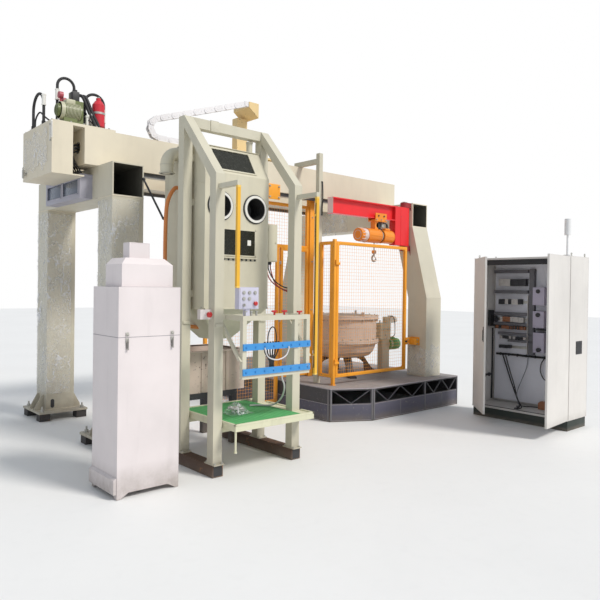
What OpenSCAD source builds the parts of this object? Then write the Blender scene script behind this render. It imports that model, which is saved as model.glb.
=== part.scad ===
// Gantry die casting machine with its casting station, dust collector and switch cabinet.
// X runs along the gantry beam, Y away from the operator, Z up, millimetres.

/* [Portals] */
// Left face of the left portal
left_portal_x = -2110; // [-2180:5:-2050]
// Left face of the right portal
right_portal_x = 2190; // [2150:5:2210]
// Width of the portal tubes along the beam
tube_w = 330; // [300:5:350]
// Front face of the left portal
portal_front_y = -107; // [-130:1:-90]
// Front to rear length of the left cross tube
portal_depth = 2051; // [1980:1:2100]
// Underside of the cross tubes
portal_h = 2471; // [2440:1:2490]
// Height of the cross tubes
tube_h = 331; // [300:1:360]
// Wall of the portal tubes
tube_wall = 12; // [6:1:20]
// Front to rear size of a column
column_d = 315; // [280:5:340]
// How far the right cross tube reaches in front of the left one
right_reach = 270; // [250:5:290]
// How far the right legs stand out in front of their cross tube
leg_splay = 260; // [220:5:280]
// Height at which the right legs bend
leg_bend_z = 1480; // [1400:10:1600]
// Side of a base plate
base_plate_w = 570; // [520:10:600]
// Thickness of a base plate
base_plate_t = 24; // [16:1:30]
// Height of the levelling blocks under the base plates
block_h = 84; // [60:1:100]

/* [Beams] */
// Width of a gantry beam
beam_w = 350; // [300:5:380]
// Height of a gantry beam
beam_h = 363; // [320:1:400]
// Distance from the front of the left portal to the front beam
beam_setback = 337; // [320:1:360]
// Overhang of the beams beyond the left portal
beam_overhang = 140; // [100:5:180]
// Plate of the beam walls
beam_wall = 14; // [8:1:20]

/* [Hydraulic unit] */
// Width of the oil tank along the beam
oil_tank_w = 205; // [180:5:230]
// Length of the oil tank across the beam
oil_tank_d = 830; // [760:10:900]
// Height of the oil tank
oil_tank_h = 486; // [420:2:520]
// Thickness of the tank lid
lid_t = 22; // [12:1:30]

/* [Carriage] */
// Left edge of the carriage on the beams
carriage_x = -420; // [-480:10:-380]
// Length of the carriage along the beams
carriage_l = 800; // [760:10:900]
// Left face of the tower on the carriage
tower_x = -232; // [-250:2:-220]
// Width of the tower on the carriage
tower_w = 152; // [140:2:160]
// Top of the chain bracket above the beams
tower_h = 680; // [640:5:720]
// Height of the cable chain
chain_h = 64; // [56:2:70]
// Width of the cable chain
chain_w = 60; // [50:2:70]
// Outside height of the bend of the cable chain
chain_bend_d = 278; // [260:2:290]
// Left end of the cable chain
chain_loop_x = -1547; // [-1580:1:-1500]
// Pitch of the chain links
link_pitch = 75; // [73:1:80]

/* [Station] */
// Square tube of the station frame
post_w = 90; // [70:2:96]
// Left face of the left side frame
frame_x = -1840; // [-1850:2:-1830]
// Clear width between the side frames
frame_gap = 780; // [770:2:790]
// Front face of the front posts
frame_y = -1490; // [-1500:2:-1480]
// Front to rear distance of the posts
post_pitch = 520; // [500:5:540]
// Top of the front posts
post_low_z = 2545; // [2500:5:2580]
// Top of the rear posts
post_high_z = 3125; // [3060:5:3160]
// Length of the skids
skid_l = 1200; // [1150:10:1250]
// Height of the skids
skid_h = 101; // [90:1:110]
// Width of a skid
skid_w = 103; // [92:1:110]

/* [Chamber] */
// Width of the chamber
chamber_w = 720; // [700:2:740]
// Depth of the chamber
chamber_d = 710; // [680:5:740]
// Front face of the chamber behind the front posts
chamber_setback = 350; // [330:5:370]
// Bottom edge of the chamber walls
chamber_z = 1400; // [1380:5:1440]
// Top of the upright front
chamber_front_z = 2630; // [2600:5:2660]
// Roof of the chamber
chamber_top_z = 2900; // [2860:5:2940]
// Depth of the sloping part of the front
slope_d = 170; // [150:5:200]
// Sheet thickness of the chamber
chamber_wall = 6; // [4:1:10]
// Height of the glove port centres
port_z = 2330; // [2300:5:2360]
// Distance between the glove port centres
port_pitch = 392; // [340:4:400]
// Opening of a glove port
port_d = 200; // [180:5:220]
// Outside of the glove port ring
ring_d = 254; // [244:2:280]
// Bottom of the hopper
hopper_z = 1100; // [1080:5:1150]

/* [Table and rack] */
// Top of the work table
table_z = 450; // [430:5:480]
// Length of the work table, front to rear
table_d = 900; // [860:10:940]
// Width of the work table
table_w = 880; // [870:5:900]
// Front plane of the tool rack
rack_y = -1740; // [-1760:5:-1720]
// Top of the tool rack
rack_top_z = 1360; // [1320:5:1400]
// Bottom of the rack uprights
rack_low_z = 840; // [800:5:860]
// Tube of the tool rack
rack_tube = 40; // [30:1:45]
// Height of a blue tool bar
tool_bar_h = 55; // [40:5:70]

/* [Quench tank] */
// Front face of the quench tank
quench_y = -640; // [-660:5:-620]
// Width of the quench tank
quench_w = 720; // [700:5:740]
// Depth of the quench tank
quench_d = 600; // [560:5:640]
// Bottom of the quench tank
quench_z = 550; // [530:5:580]
// Height of the quench tank
quench_h = 410; // [380:5:420]

/* [Dust collector] */
// Left side of the dust collector
collector_x = -2690; // [-2695:1:-2680]
// Front of the dust collector
collector_y = -1496; // [-1510:2:-1480]
// Width of the dust collector
collector_w = 520; // [500:5:530]
// Depth of the dust collector
collector_d = 445; // [420:5:460]
// Height of the dust collector
collector_h = 1585; // [1540:5:1620]
// Height of the fan box on the dust collector
fan_box_h = 225; // [200:5:240]

/* [Platform] */
// Left edge of the platform
platform_x = 431; // [425:1:440]
// Right edge of the platform
platform_end_x = 2670; // [2660:1:2680]
// Front edge of the platform
platform_y = -830; // [-840:1:-820]
// Top of the platform
platform_h = 397; // [380:1:420]
// Chamfer of the platform corners along the beam
corner_x = 476; // [440:4:500]
// Chamfer of the platform corners across the beam
corner_y = 261; // [240:3:280]
// Thickness of the deck plate
deck_t = 15; // [10:1:20]

/* [Fence] */
// Plane of the gate
gate_y = -400; // [-405:1:-395]
// Hinge axis of the gate
gate_x = 665; // [664:1:670]
// Width of the gate leaf
gate_w = 1365; // [1350:5:1370]
// Height of the gate leaf
gate_h = 1685; // [1600:5:1700]
// Space under the gate above the deck
gate_lift = 93; // [80:1:110]
// Square tube of the gate
gate_tube = 40; // [30:1:46]
// Pitch of the fence mesh
mesh_pitch = 100; // [80:5:120]
// Bar of the fence mesh
mesh_bar = 8; // [5:1:12]
// Left edge of the mesh screen
screen_x = -720; // [-740:5:-700]
// Width of the mesh screen
screen_w = 1650; // [1600:10:1700]

/* [Furnace] */
// Centre of the furnace along the beam
furnace_x = 1530; // [1510:5:1550]
// Centre of the furnace across the beam
furnace_y = 310; // [290:5:330]
// Outside of the furnace vessel
furnace_d = 1000; // [940:10:1020]
// Underside of the furnace vessel
furnace_low_z = 645; // [620:5:680]
// Rim of the furnace vessel
furnace_top_z = 1220; // [1180:5:1260]

/* [Jib] */
// Slewing axis of the jib along the beam
jib_x = 2110; // [2105:1:2115]
// Slewing axis of the jib across the beam
jib_y = -290; // [-295:1:-285]
// Reach of the jib arm from its axis
jib_reach = 1445; // [1400:5:1445]
// Underside of the jib arm
jib_z = 2530; // [2520:1:2540]
// Lower end of the jib mast
jib_low_z = 2200; // [2180:5:2230]
// Height of the jib arm
jib_h = 200; // [180:2:210]
// Width of the jib flanges
jib_flange_w = 100; // [80:2:110]
// Centre of the hoist from the jib axis
hoist_reach = 620; // [600:5:640]
// Body length of the hoist
hoist_l = 640; // [600:5:650]
// Diameter of the hoist body
hoist_d = 190; // [170:2:200]
// Lowest point of the hook
hook_z = 1950; // [1900:5:1980]

/* [Switch cabinet] */
// Front face of the switch cabinet
cabinet_x = 2203; // [2195:1:2210]
// Near side of the switch cabinet
cabinet_y = -2604; // [-2610:1:-2600]
// Depth of the switch cabinet
cabinet_d = 488; // [470:2:500]
// Width of the switch cabinet
cabinet_w = 1236; // [1220:2:1240]
// Height of the switch cabinet
cabinet_h = 2000; // [1960:5:2040]
// Height of the plinth
plinth_h = 118; // [100:2:130]
// Sheet fold of the cabinet
cabinet_wall = 25; // [15:1:30]
// Opening angle of the near door as it stands
near_open = 95; // [80:1:110]
// Opening angle of the far door as it stands
far_open = 46; // [30:1:70]
// Thickness of a cabinet door
door_t = 22; // [16:1:28]

/* [Hidden] */
$fn = 48;

seat = 0.3;
mid_y = portal_front_y + portal_depth / 2;
portal_rear_y = portal_front_y + portal_depth;
plate_top = block_h + base_plate_t;
beam_z = portal_h + tube_h;
beam_top = beam_z + beam_h;
beam_x = left_portal_x - beam_overhang;
beam_end_x = right_portal_x + tube_w;
beam_y = portal_front_y + beam_setback;
rear_beam_y = 2 * mid_y - beam_y - beam_w;
right_front_y = portal_front_y - right_reach;
leg_front_y = right_front_y - leg_splay;

// A box given by its low corner and its high corner
module span(low, high) {
    translate(low) cube(high - low);
}

// A copy of the children on the front and on the rear side of the portals
module front_and_rear() {
    children();
    translate([0, 2 * mid_y, 0]) mirror([0, 1, 0]) children();
}

// A profile drawn in Y and Z, given a width along X
module along_x(x, width) {
    translate([x, 0, 0]) rotate([90, 0, 90]) linear_extrude(width) children();
}

// A profile drawn in X and Z, given a depth along Y
module along_y(y, depth) {
    translate([0, y + depth, 0]) rotate([90, 0, 0]) linear_extrude(depth) children();
}

// Gussets of a base plate, drawn in Y and Z
gusset_h = 170;
gusset_l = 105;
gusset_t = 12;
module gusset_shape() {
    polygon([[0, 0], [gusset_l, 0], [gusset_l, 25], [25, gusset_h], [0, gusset_h]]);
}

// One column of the left portal with its base plate, gussets and cable slot
slot_w = 53;
slot_h = 130;
slot_z = 190;
module left_column(y) {
    cx = left_portal_x + tube_w / 2;
    cy = y + column_d / 2;
    difference() {
        span([left_portal_x, y, plate_top], [left_portal_x + tube_w, y + column_d, portal_h]);
        span([left_portal_x + tube_wall, y + tube_wall, plate_top - 1],
            [left_portal_x + tube_w - tube_wall, y + column_d - tube_wall, portal_h + 1]);
        along_y(y - 1, tube_wall + 2) hull() {
            translate([cx + 60, slot_z]) circle(d = slot_w);
            translate([cx + 60, slot_z + slot_h - slot_w]) circle(d = slot_w);
        }
    }
    span([cx - base_plate_w / 2, cy - base_plate_w / 2, block_h],
        [cx + base_plate_w / 2, cy + base_plate_w / 2, plate_top]);
    for (side = [-1, 1], k = [-1, 1]) {
        translate([cx + side * tube_w / 2, cy + k * column_d / 4 - gusset_t / 2, plate_top])
            rotate([90, 0, side > 0 ? 0 : 180]) mirror([0, 0, 1])
                translate([0, 0, side > 0 ? 0 : -gusset_t]) linear_extrude(gusset_t) gusset_shape();
    }
    translate([cx - gusset_t / 2, y, plate_top]) rotate([90, 0, -90]) mirror([0, 0, 1])
        linear_extrude(gusset_t) gusset_shape();
}

module left_columns() {
    color("antiquewhite") front_and_rear() left_column(portal_front_y);
}

// Dark levelling blocks under the base plates of the left portal
block_w = 120;
module column_blocks() {
    cx = left_portal_x + tube_w / 2;
    cy = portal_front_y + column_d / 2;
    inset = base_plate_w / 2 - 10;
    color("dimgray") front_and_rear() for (a = [-1, 1], b = [-1, 1]) {
        x = cx + a * (inset - block_w / 2);
        y = cy + b * (inset - block_w / 2);
        span([x - block_w / 2, y - block_w / 2, 0], [x + block_w / 2, y + block_w / 2, block_h]);
    }
}

// A square cross tube, open at both ends
module cross_tube(x, y0, y1) {
    difference() {
        span([x, y0, portal_h], [x + tube_w, y1, beam_z]);
        span([x + tube_wall, y0 - 1, portal_h + tube_wall],
            [x + tube_w - tube_wall, y1 + 1, beam_z - tube_wall]);
    }
}

module left_cross_tube() {
    color("antiquewhite") cross_tube(left_portal_x, portal_front_y, portal_rear_y);
}

module right_cross_tube() {
    color("antiquewhite")
        cross_tube(right_portal_x, right_front_y, portal_rear_y + right_reach);
}

// A bent leg of the right portal, in Y and Z, with the given plate thickness left off
module leg_shape(inset) {
    polygon([[leg_front_y + inset, platform_h - (inset > 0 ? 1 : 0)],
        [leg_front_y + inset, leg_bend_z],
        [right_front_y + inset, portal_h + (inset > 0 ? 1 : 0)],
        [right_front_y + column_d - inset, portal_h + (inset > 0 ? 1 : 0)],
        [leg_front_y + column_d - inset, leg_bend_z],
        [leg_front_y + column_d - inset, platform_h - (inset > 0 ? 1 : 0)]]);
}

module right_legs() {
    color("antiquewhite") front_and_rear() difference() {
        along_x(right_portal_x, tube_w) leg_shape(0);
        along_x(right_portal_x + tube_wall, tube_w - 2 * tube_wall) leg_shape(tube_wall);
    }
}

// Box beams on the cross tubes, with capped ends that keep a round hand hole
hand_hole_d = 120;
module gantry_beams() {
    color("antiquewhite") front_and_rear() difference() {
        span([beam_x, beam_y, beam_z], [beam_end_x, beam_y + beam_w, beam_top]);
        span([beam_x + beam_wall, beam_y + beam_wall, beam_z + beam_wall],
            [beam_end_x - beam_wall, beam_y + beam_w - beam_wall, beam_top - beam_wall]);
        translate([beam_x - 1, beam_y + beam_w / 2, beam_z + beam_h / 2]) rotate([0, 90, 0])
            cylinder(d = hand_hole_d, h = beam_end_x - beam_x + 2);
    }
}

// Dark guide rails under the beams, between the portals
rail_w = 45;
rail_h = 38;
module beam_rails() {
    color("dimgray") front_and_rear()
        span([left_portal_x + tube_w, beam_y + 30, beam_z - rail_h],
            [right_portal_x, beam_y + 30 + rail_w, beam_z]);
}

// Oil tank at the left end of the front beam, with its lid and bottom flange
oil_gap = 117;
oil_x = beam_x - oil_tank_w - oil_gap;
oil_top = beam_top - 5;
oil_wall = 5;
oil_foot_t = 12;
lid_w = 645;
module oil_tank() {
    low = oil_top - oil_tank_h;
    color("wheat") {
        difference() {
            span([oil_x, beam_y, low], [oil_x + oil_tank_w, beam_y + oil_tank_d, oil_top]);
            span([oil_x + oil_wall, beam_y + oil_wall, low + oil_wall],
                [oil_x + oil_tank_w - oil_wall, beam_y + oil_tank_d - oil_wall, oil_top + 1]);
        }
        span([oil_x + oil_tank_w, beam_y, low],
            [beam_x, beam_y + oil_tank_d, low + oil_foot_t]);
        span([oil_x, beam_y, beam_top], [oil_x + lid_w, beam_y + oil_tank_d, beam_top + lid_t]);
        span([oil_x, beam_y, oil_top], [beam_x, beam_y + oil_tank_d, beam_top]);
    }
}

// Motor, pump and valve block on the tank lid
unit_y = beam_y + 140;
unit_z = beam_top + lid_t;
motor_y = beam_y + 90;
motor_d = 160;
motor_l = 210;
motor_cap_t = 14;
motor_lift = 42;
foot_w = 130;
foot_h = 60;
valve_x = oil_x + 240;
valve_w = 90;
valve_h = 235;
top_valve_w = 70;
top_valve_h = 115;
module pump_unit() {
    shaft_z = unit_z + motor_d / 2 + motor_lift;
    valve_rear_y = beam_y + 250;
    color("darkolivegreen") {
        translate([valve_x - 155, motor_y, shaft_z]) rotate([0, 90, 0]) {
            cylinder(d = motor_d - 34, h = motor_cap_t);
            translate([0, 0, motor_cap_t]) cylinder(d = motor_d, h = motor_l);
        }
        span([valve_x - foot_w + 20, motor_y - 50, unit_z],
            [valve_x + 20, motor_y + 50, unit_z + foot_h]);
        span([valve_x, motor_y - 30, unit_z],
            [valve_x + valve_w, valve_rear_y, unit_z + valve_h]);
        translate([valve_x + 10, valve_rear_y - 10 - top_valve_w, unit_z + valve_h])
            cube([top_valve_w, top_valve_w, top_valve_h]);
    }
}

// Pressure vessel with a neck at the bottom and a rounded head
bottle_x = oil_x + 520;
bottle_d = 125;
bottle_h = 220;
neck_d = 90;
neck_h = 40;
head_d = 70;
head_h = 40;
cap_d = 50;
cap_h = 30;
module accumulator() {
    color("firebrick") translate([bottle_x, unit_y, unit_z]) {
        cylinder(d = neck_d, h = neck_h);
        translate([0, 0, neck_h]) cylinder(d = bottle_d, h = bottle_h);
        translate([0, 0, neck_h + bottle_h])
            cylinder(d1 = bottle_d, d2 = head_d, h = head_h, $fn = 32);
        translate([0, 0, neck_h + bottle_h + head_h]) cylinder(d = cap_d, h = cap_h);
    }
}

// An upright hose bow between two fittings on the lid, turned about its first end
hose_d = 28;
fitting_h = 40;
module hose_bow(x, y, turn, width, height) {
    translate([x, y, unit_z]) rotate([0, 0, turn]) {
        translate([width / 2, 0, height]) rotate([90, 0, 0]) rotate_extrude(angle = 180)
            translate([width / 2, 0]) circle(d = hose_d, $fn = 16);
        for (along = [0, width]) translate([along, 0, 0]) {
            cylinder(d = hose_d, h = height, $fn = 16);
            cylinder(d = hose_d + 12, h = fitting_h, $fn = 6);
        }
    }
}

module tank_hoses() {
    color("dimgray") {
        hose_bow(oil_x + 25, beam_y + 600, -90, 300, 190);
        hose_bow(oil_x + 150, beam_y + 280, 0, 170, 420);
        hose_bow(oil_x + 425, beam_y + 260, 0, 206, 295);
    }
}

// Terminal box with two panes on the left face of the left cross tube
terminal_d = 130;
terminal_w = 960;
terminal_h = 245;
terminal_edge = 50;
module terminal_box() {
    x0 = left_portal_x - terminal_d;
    y0 = mid_y - 555;
    z0 = portal_h + 5;
    pane = (terminal_w - 3 * terminal_edge) / 2;
    color("beige") difference() {
        span([x0, y0, z0], [left_portal_x, y0 + terminal_w, z0 + terminal_h]);
        for (k = [0, 1]) translate([x0 - 1, y0 + terminal_edge + k * (pane + terminal_edge),
            z0 + terminal_edge]) cube([9, pane, terminal_h - 2 * terminal_edge]);
    }
}

// Carriage on the beams, with the tower and the bracket that hold the cable chain
shoe_h = 48;
carriage_t = 24;
carriage_top = beam_top + shoe_h + carriage_t;
tower_y = beam_y + 230;
tower_d = 105;
chain_y = beam_y + 20;
bracket_top = beam_top + tower_h;
bracket_drop = 175;
bracket_x = tower_x + 17;
bracket_w = 145;
module carriage_tower() {
    rear = 2 * mid_y - beam_y;
    color("wheat") {
        for (x = [carriage_x, carriage_x + carriage_l - 120], y = [beam_y + 150, rear - 270])
            span([x, y, beam_top], [x + 120, y + 120, beam_top + shoe_h]);
        span([carriage_x, beam_y + 120, beam_top + shoe_h],
            [carriage_x + carriage_l, rear - 120, carriage_top]);
        span([tower_x, tower_y, carriage_top],
            [tower_x + tower_w, tower_y + tower_d, bracket_top - bracket_drop + 20]);
        along_y(chain_y - 10, tower_y + tower_d - chain_y + 10) polygon([[bracket_x, bracket_top],
            [bracket_x, bracket_top - chain_h], [bracket_x + bracket_w, bracket_top - bracket_drop],
            [bracket_x + bracket_w, bracket_top]]);
    }
}

// Cable chain as one fixed loop of links: lower run on the beam, bend, and upper run
chain_lift = 3;
chain_r = (chain_bend_d - chain_h) / 2;
loop_x = chain_loop_x + chain_bend_d / 2;
loop_z = beam_top + chain_bend_d / 2 + chain_lift;
low_end_x = carriage_x - 200;
high_end_x = bracket_x - chain_h / 2 - chain_lift;
high_end_z = bracket_top - chain_h / 2;
run_x = high_end_x - loop_x;
run_z = high_end_z - loop_z;
run_l = sqrt(run_x * run_x + run_z * run_z - chain_r * chain_r);
rise = atan2(run_z, run_x) - atan2(chain_r, run_l);
low_links = round((low_end_x - loop_x) / link_pitch);
bend_links = round((180 - rise) * PI / 180 * chain_r / link_pitch);
high_links = round(run_l / link_pitch);
low_pins = [for (i = [0:low_links - 1])
    [low_end_x + (loop_x - low_end_x) * i / low_links, loop_z - chain_r]];
bend_pins = [for (i = [0:bend_links]) let (a = -90 - (180 - rise) * i / bend_links)
    [loop_x + chain_r * cos(a), loop_z + chain_r * sin(a)]];
high_pins = [for (i = [1:high_links])
    bend_pins[bend_links] + run_l * i / high_links * [cos(rise), sin(rise)]];
pins = concat(low_pins, bend_pins, high_pins);
cheek_t = 7;
lap = 0.6;
bar_t = 6;
boss_d = 22;
boss_t = 2;
end_l = 20;

// One chain link from pin to pin: two cheeks, alternately outside and inside, and two cross bars
module chain_link(from, to, step) {
    l = norm(to - from);
    r = (chain_h - step / 2) / 2;
    c = r * 0.58;
    translate([from.x, chain_y, from.y]) rotate([0, -atan2(to.y - from.y, to.x - from.x), 0]) {
        for (y = [step, chain_w - cheek_t - step]) along_y(y, cheek_t)
            polygon([[-r, c - r], [c - r, -r], [l + r - c, -r], [l + r, c - r],
                [l + r, r - c], [l + r - c, r], [c - r, r], [-r, r - c]]);
        for (z = [-r, r - bar_t])
            span([l * 0.3, step + 1, z], [l * 0.7, chain_w - step - 1, z + bar_t]);
        for (y = [-boss_t, chain_w - cheek_t]) along_y(y, cheek_t + boss_t) circle(d = boss_d);
    }
}

module cable_chain() {
    last = pins[len(pins) - 1];
    color("white") {
        for (i = [0:len(pins) - 2]) chain_link(pins[i], pins[i + 1], (i % 2) * (cheek_t - lap));
        span([last.x - end_l, chain_y, last.y - chain_h / 2 + 4],
            [bracket_x, chain_y + chain_w, last.y + chain_h / 2 - 4]);
        span([low_end_x - end_l, chain_y, beam_top],
            [low_end_x + chain_h, chain_y + chain_w, beam_top + chain_h - 8]);
    }
}

// A side frame of the station: two posts and the slanting member between their tops
rear_post_y = frame_y + post_pitch;
member_high = 110;
member_low = 30;
module side_frame(x) {
    along_x(x, post_w) polygon([[frame_y, skid_h], [frame_y, post_low_z],
        [rear_post_y, post_high_z], [rear_post_y + post_w, post_high_z],
        [rear_post_y + post_w, skid_h], [rear_post_y, skid_h],
        [rear_post_y, post_high_z - member_high], [frame_y + post_w, post_low_z - member_low],
        [frame_y + post_w, skid_h]]);
}

right_frame_x = frame_x + post_w + frame_gap;
module station_side_frames() {
    color("beige") {
        side_frame(frame_x);
        side_frame(right_frame_x);
    }
}

module station_top_bar() {
    color("beige") span([frame_x + post_w, rear_post_y, post_high_z - post_w],
        [right_frame_x, rear_post_y + post_w, post_high_z]);
}

skid_nose = 10;
module station_skids() {
    color("saddlebrown") for (x = [frame_x, right_frame_x])
        span([x + post_w / 2 - skid_w / 2, frame_y - skid_nose, 0],
            [x + post_w / 2 + skid_w / 2, frame_y - skid_nose + skid_l, skid_h]);
}

// Blasting chamber with a sloping window over two glove ports
chamber_x = frame_x + post_w + (frame_gap - chamber_w) / 2;
chamber_y = frame_y + chamber_setback;
chamber_cx = chamber_x + chamber_w / 2;
slope_angle = atan2(chamber_top_z - chamber_front_z, slope_d);
slope_l = norm([chamber_top_z - chamber_front_z, slope_d]);
window_w = 420;
window_l = 240;
square_w = 392;
square_h = 230;
square_z = 1890;
tie_w = 60;
module chamber_shape(inset) {
    polygon([[chamber_y + inset, chamber_z - (inset > 0 ? 1 : 0)],
        [chamber_y + inset, chamber_front_z - inset * tan((90 - slope_angle) / 2)],
        [chamber_y + slope_d + inset * tan(slope_angle / 2), chamber_top_z - inset],
        [chamber_y + chamber_d - inset, chamber_top_z - inset],
        [chamber_y + chamber_d - inset, chamber_z - (inset > 0 ? 1 : 0)]]);
}

module slope_window(width, length, thickness, lift) {
    translate([chamber_cx, chamber_y, chamber_front_z]) rotate([slope_angle, 0, 0])
        translate([-width / 2, (slope_l - length) / 2, lift]) cube([width, length, thickness]);
}

module chamber_shell() {
    color("beige") difference() {
        along_x(chamber_x, chamber_w) chamber_shape(0);
        along_x(chamber_x + chamber_wall, chamber_w - 2 * chamber_wall)
            chamber_shape(chamber_wall);
        for (side = [-1, 1]) translate([chamber_cx + side * port_pitch / 2, chamber_y - 1, port_z])
            rotate([-90, 0, 0]) cylinder(d = port_d + 20, h = chamber_wall + 2);
        slope_window(window_w, window_l, 40, -20);
        span([chamber_cx - square_w / 2, chamber_y - 1, square_z],
            [chamber_cx + square_w / 2, chamber_y + chamber_wall + 1, square_z + square_h]);
    }
    color("beige") for (z = [chamber_z + 100, port_z, chamber_front_z + 100],
        x = [frame_x + post_w, chamber_x + chamber_w])
        translate([x, rear_post_y + (post_w - tie_w) / 2, z])
            cube([(frame_gap - chamber_w) / 2, tie_w, tie_w]);
}

module chamber_windows() {
    color([0.1, 0.1, 0.1, 0.6]) {
        slope_window(window_w - 2 * seat, window_l - 2 * seat, chamber_wall, -chamber_wall);
        span([chamber_cx - square_w / 2 + seat, chamber_y, square_z + seat],
            [chamber_cx + square_w / 2 - seat, chamber_y + chamber_wall, square_z + square_h - seat]);
    }
}

ring_t = 18;
module glove_rings() {
    color("white") for (side = [-1, 1])
        translate([chamber_cx + side * port_pitch / 2, chamber_y, port_z]) rotate([90, 0, 0])
            difference() {
                cylinder(d = ring_d, h = ring_t);
                translate([0, 0, -1]) cylinder(d = port_d, h = ring_t + 2);
            }
}

// Closed hopper under the chamber, tapering to a square outlet
outlet_w = 220;
outlet_h = 20;
module chamber_hopper() {
    outlet_y = chamber_y + chamber_d / 2;
    color("beige") hull() {
        span([chamber_x, chamber_y, chamber_z - 2],
            [chamber_x + chamber_w, chamber_y + chamber_d, chamber_z - seat]);
        span([chamber_cx - outlet_w / 2, outlet_y - outlet_w / 2, hopper_z],
            [chamber_cx + outlet_w / 2, outlet_y + outlet_w / 2, hopper_z + outlet_h]);
    }
}

// Exhaust elbows on both sides of the chamber
elbow_d = 120;
elbow_r = 110;
elbow_z = 2830;
elbow_start = 20;
elbow_drop = 85;
module elbow(side, y) {
    x = chamber_cx + side * (chamber_w / 2);
    translate([x, y, elbow_z]) {
        rotate([0, side * 90, 0]) cylinder(d = elbow_d, h = elbow_start);
        translate([side * elbow_start, 0, -elbow_r]) rotate([90, 0, 0])
            rotate([0, 0, side > 0 ? 0 : 90]) rotate_extrude(angle = 90)
                translate([elbow_r, 0]) circle(d = elbow_d);
        translate([side * (elbow_start + elbow_r), 0, -elbow_r - elbow_drop])
            cylinder(d = elbow_d, h = elbow_drop);
    }
}

module exhaust_elbows() {
    color("beige") {
        elbow(-1, chamber_y + 450);
        elbow(1, chamber_y + 360);
    }
}

control_w = 114;
control_d = 140;
control_h = 360;
control_z = 1845;
module chamber_control_box() {
    x = chamber_x + chamber_w;
    color("beige") span([x, chamber_y, control_z],
        [x + control_w, chamber_y + control_d, control_z + control_h]);
}

// Light curtains in front of the station, on arms from the front posts
curtain_w = 30;
curtain_d = 25;
curtain_y = -1757;
curtain_top_z = 2416;
left_curtain_z = 1590;
right_curtain_z = 818;
arm_t = 40;
module light_curtains() {
    color("goldenrod") for (side = [[frame_x, left_curtain_z], [right_frame_x, right_curtain_z]])
        span([side[0] + post_w / 2 - curtain_w / 2, curtain_y, side[1]],
            [side[0] + post_w / 2 + curtain_w / 2, curtain_y + curtain_d, curtain_top_z]);
}

module curtain_arms() {
    color("gray") for (x = [frame_x, right_frame_x])
        span([x + post_w / 2 - arm_t / 2, curtain_y, curtain_top_z],
            [x + post_w / 2 + arm_t / 2, frame_y, curtain_top_z + arm_t]);
}

// Tool rack in front of the table
brace_t = 22;
brace_low = 150;
extra_upright = 180;
rack_x = frame_x + post_w + brace_t - 2;
rack_w = frame_gap - 2 * brace_t + 4;
module tool_rack() {
    x1 = rack_x + rack_w;
    rail_z = rack_top_z - rack_tube;
    color("beige") {
        for (x = [rack_x, x1 - rack_tube]) {
            span([x, rack_y, rack_low_z], [x + rack_tube, rack_y + rack_tube, rail_z]);
            span([x, rack_y, rail_z], [x + rack_tube, frame_y, rack_top_z]);
        }
        span([x1 - extra_upright, rack_y, rack_low_z],
            [x1 - extra_upright + rack_tube, rack_y + rack_tube, rail_z]);
        for (z = [rack_low_z, rail_z]) span([rack_x + rack_tube, rack_y, z],
            [x1 - rack_tube, rack_y + rack_tube, z + rack_tube]);
        span([frame_x + post_w, frame_y, rail_z], [right_frame_x, frame_y + rack_tube, rack_top_z]);
        for (x = [frame_x + post_w, right_frame_x - brace_t]) along_x(x, brace_t)
            polygon([[rack_y, rack_low_z + brace_low], [rack_y + rack_tube, rack_low_z + brace_low],
                [frame_y + post_w, rail_z], [frame_y + post_w - rack_tube, rail_z]]);
    }
}

// Two tool bars across the front of the rack
tool_bar_t = 12;
tool_bar_low = [30, 235];
module tool_bars() {
    color("dodgerblue") for (low = tool_bar_low)
        span([rack_x, rack_y - tool_bar_t, rack_low_z + low],
            [rack_x + rack_w, rack_y, rack_low_z + low + tool_bar_h]);
}

// Operator panel on a short stem at the left end of the rack
panel_w = 197;
panel_h = 180;
panel_d = 60;
stem_w = 40;
stem_h = 56;
module operator_panel() {
    x = rack_x - 40;
    stem_x = x + 75;
    color("lavender") {
        span([x, rack_y, rack_top_z + stem_h],
            [x + panel_w, rack_y + panel_d, rack_top_z + stem_h + panel_h]);
        translate([stem_x, rack_y + (panel_d - stem_w) / 2, rack_top_z])
            cube([stem_w, stem_w, stem_h]);
    }
}

// Stop box with its mushroom button, on the left face of the left front post
stop_w = 110;
stop_d = 46;
stop_h = 82;
stop_z = 1364;
button_d = 45;
button_l = 25;
module stop_box() {
    front = frame_y + post_w - stop_d;
    color("gold") {
        span([frame_x - stop_w, front, stop_z - stop_h / 2],
            [frame_x, front + stop_d, stop_z + stop_h / 2]);
        translate([frame_x - stop_d, front, stop_z]) rotate([90, 0, 0])
            cylinder(d = button_d, h = button_l);
    }
}

// Work table with an apron, between the posts of the station
table_x = frame_x + post_w + 10;
table_y = -1670;
table_t = 12;
apron_t = 5;
apron_h = 50;
bearer_w = 40;
module work_table() {
    x1 = table_x + table_w;
    y1 = table_y + table_d;
    color("beige") difference() {
        union() {
            difference() {
                span([table_x, table_y, table_z - apron_h], [x1, y1, table_z]);
                span([table_x + apron_t, table_y + apron_t, table_z - apron_h - 1],
                    [x1 - apron_t, y1 - apron_t, table_z - table_t]);
            }
            for (y = [frame_y + post_w / 2, rear_post_y + post_w / 2])
                span([frame_x + post_w, y - bearer_w / 2, table_z - apron_h - bearer_w],
                    [right_frame_x, y + bearer_w / 2, table_z - apron_h]);
        }
        for (y = [frame_y, rear_post_y])
            span([right_frame_x - seat, y - seat, table_z - apron_h - bearer_w - 1],
                [right_frame_x + post_w + seat, y + post_w + seat, table_z + 1]);
    }
}

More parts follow.
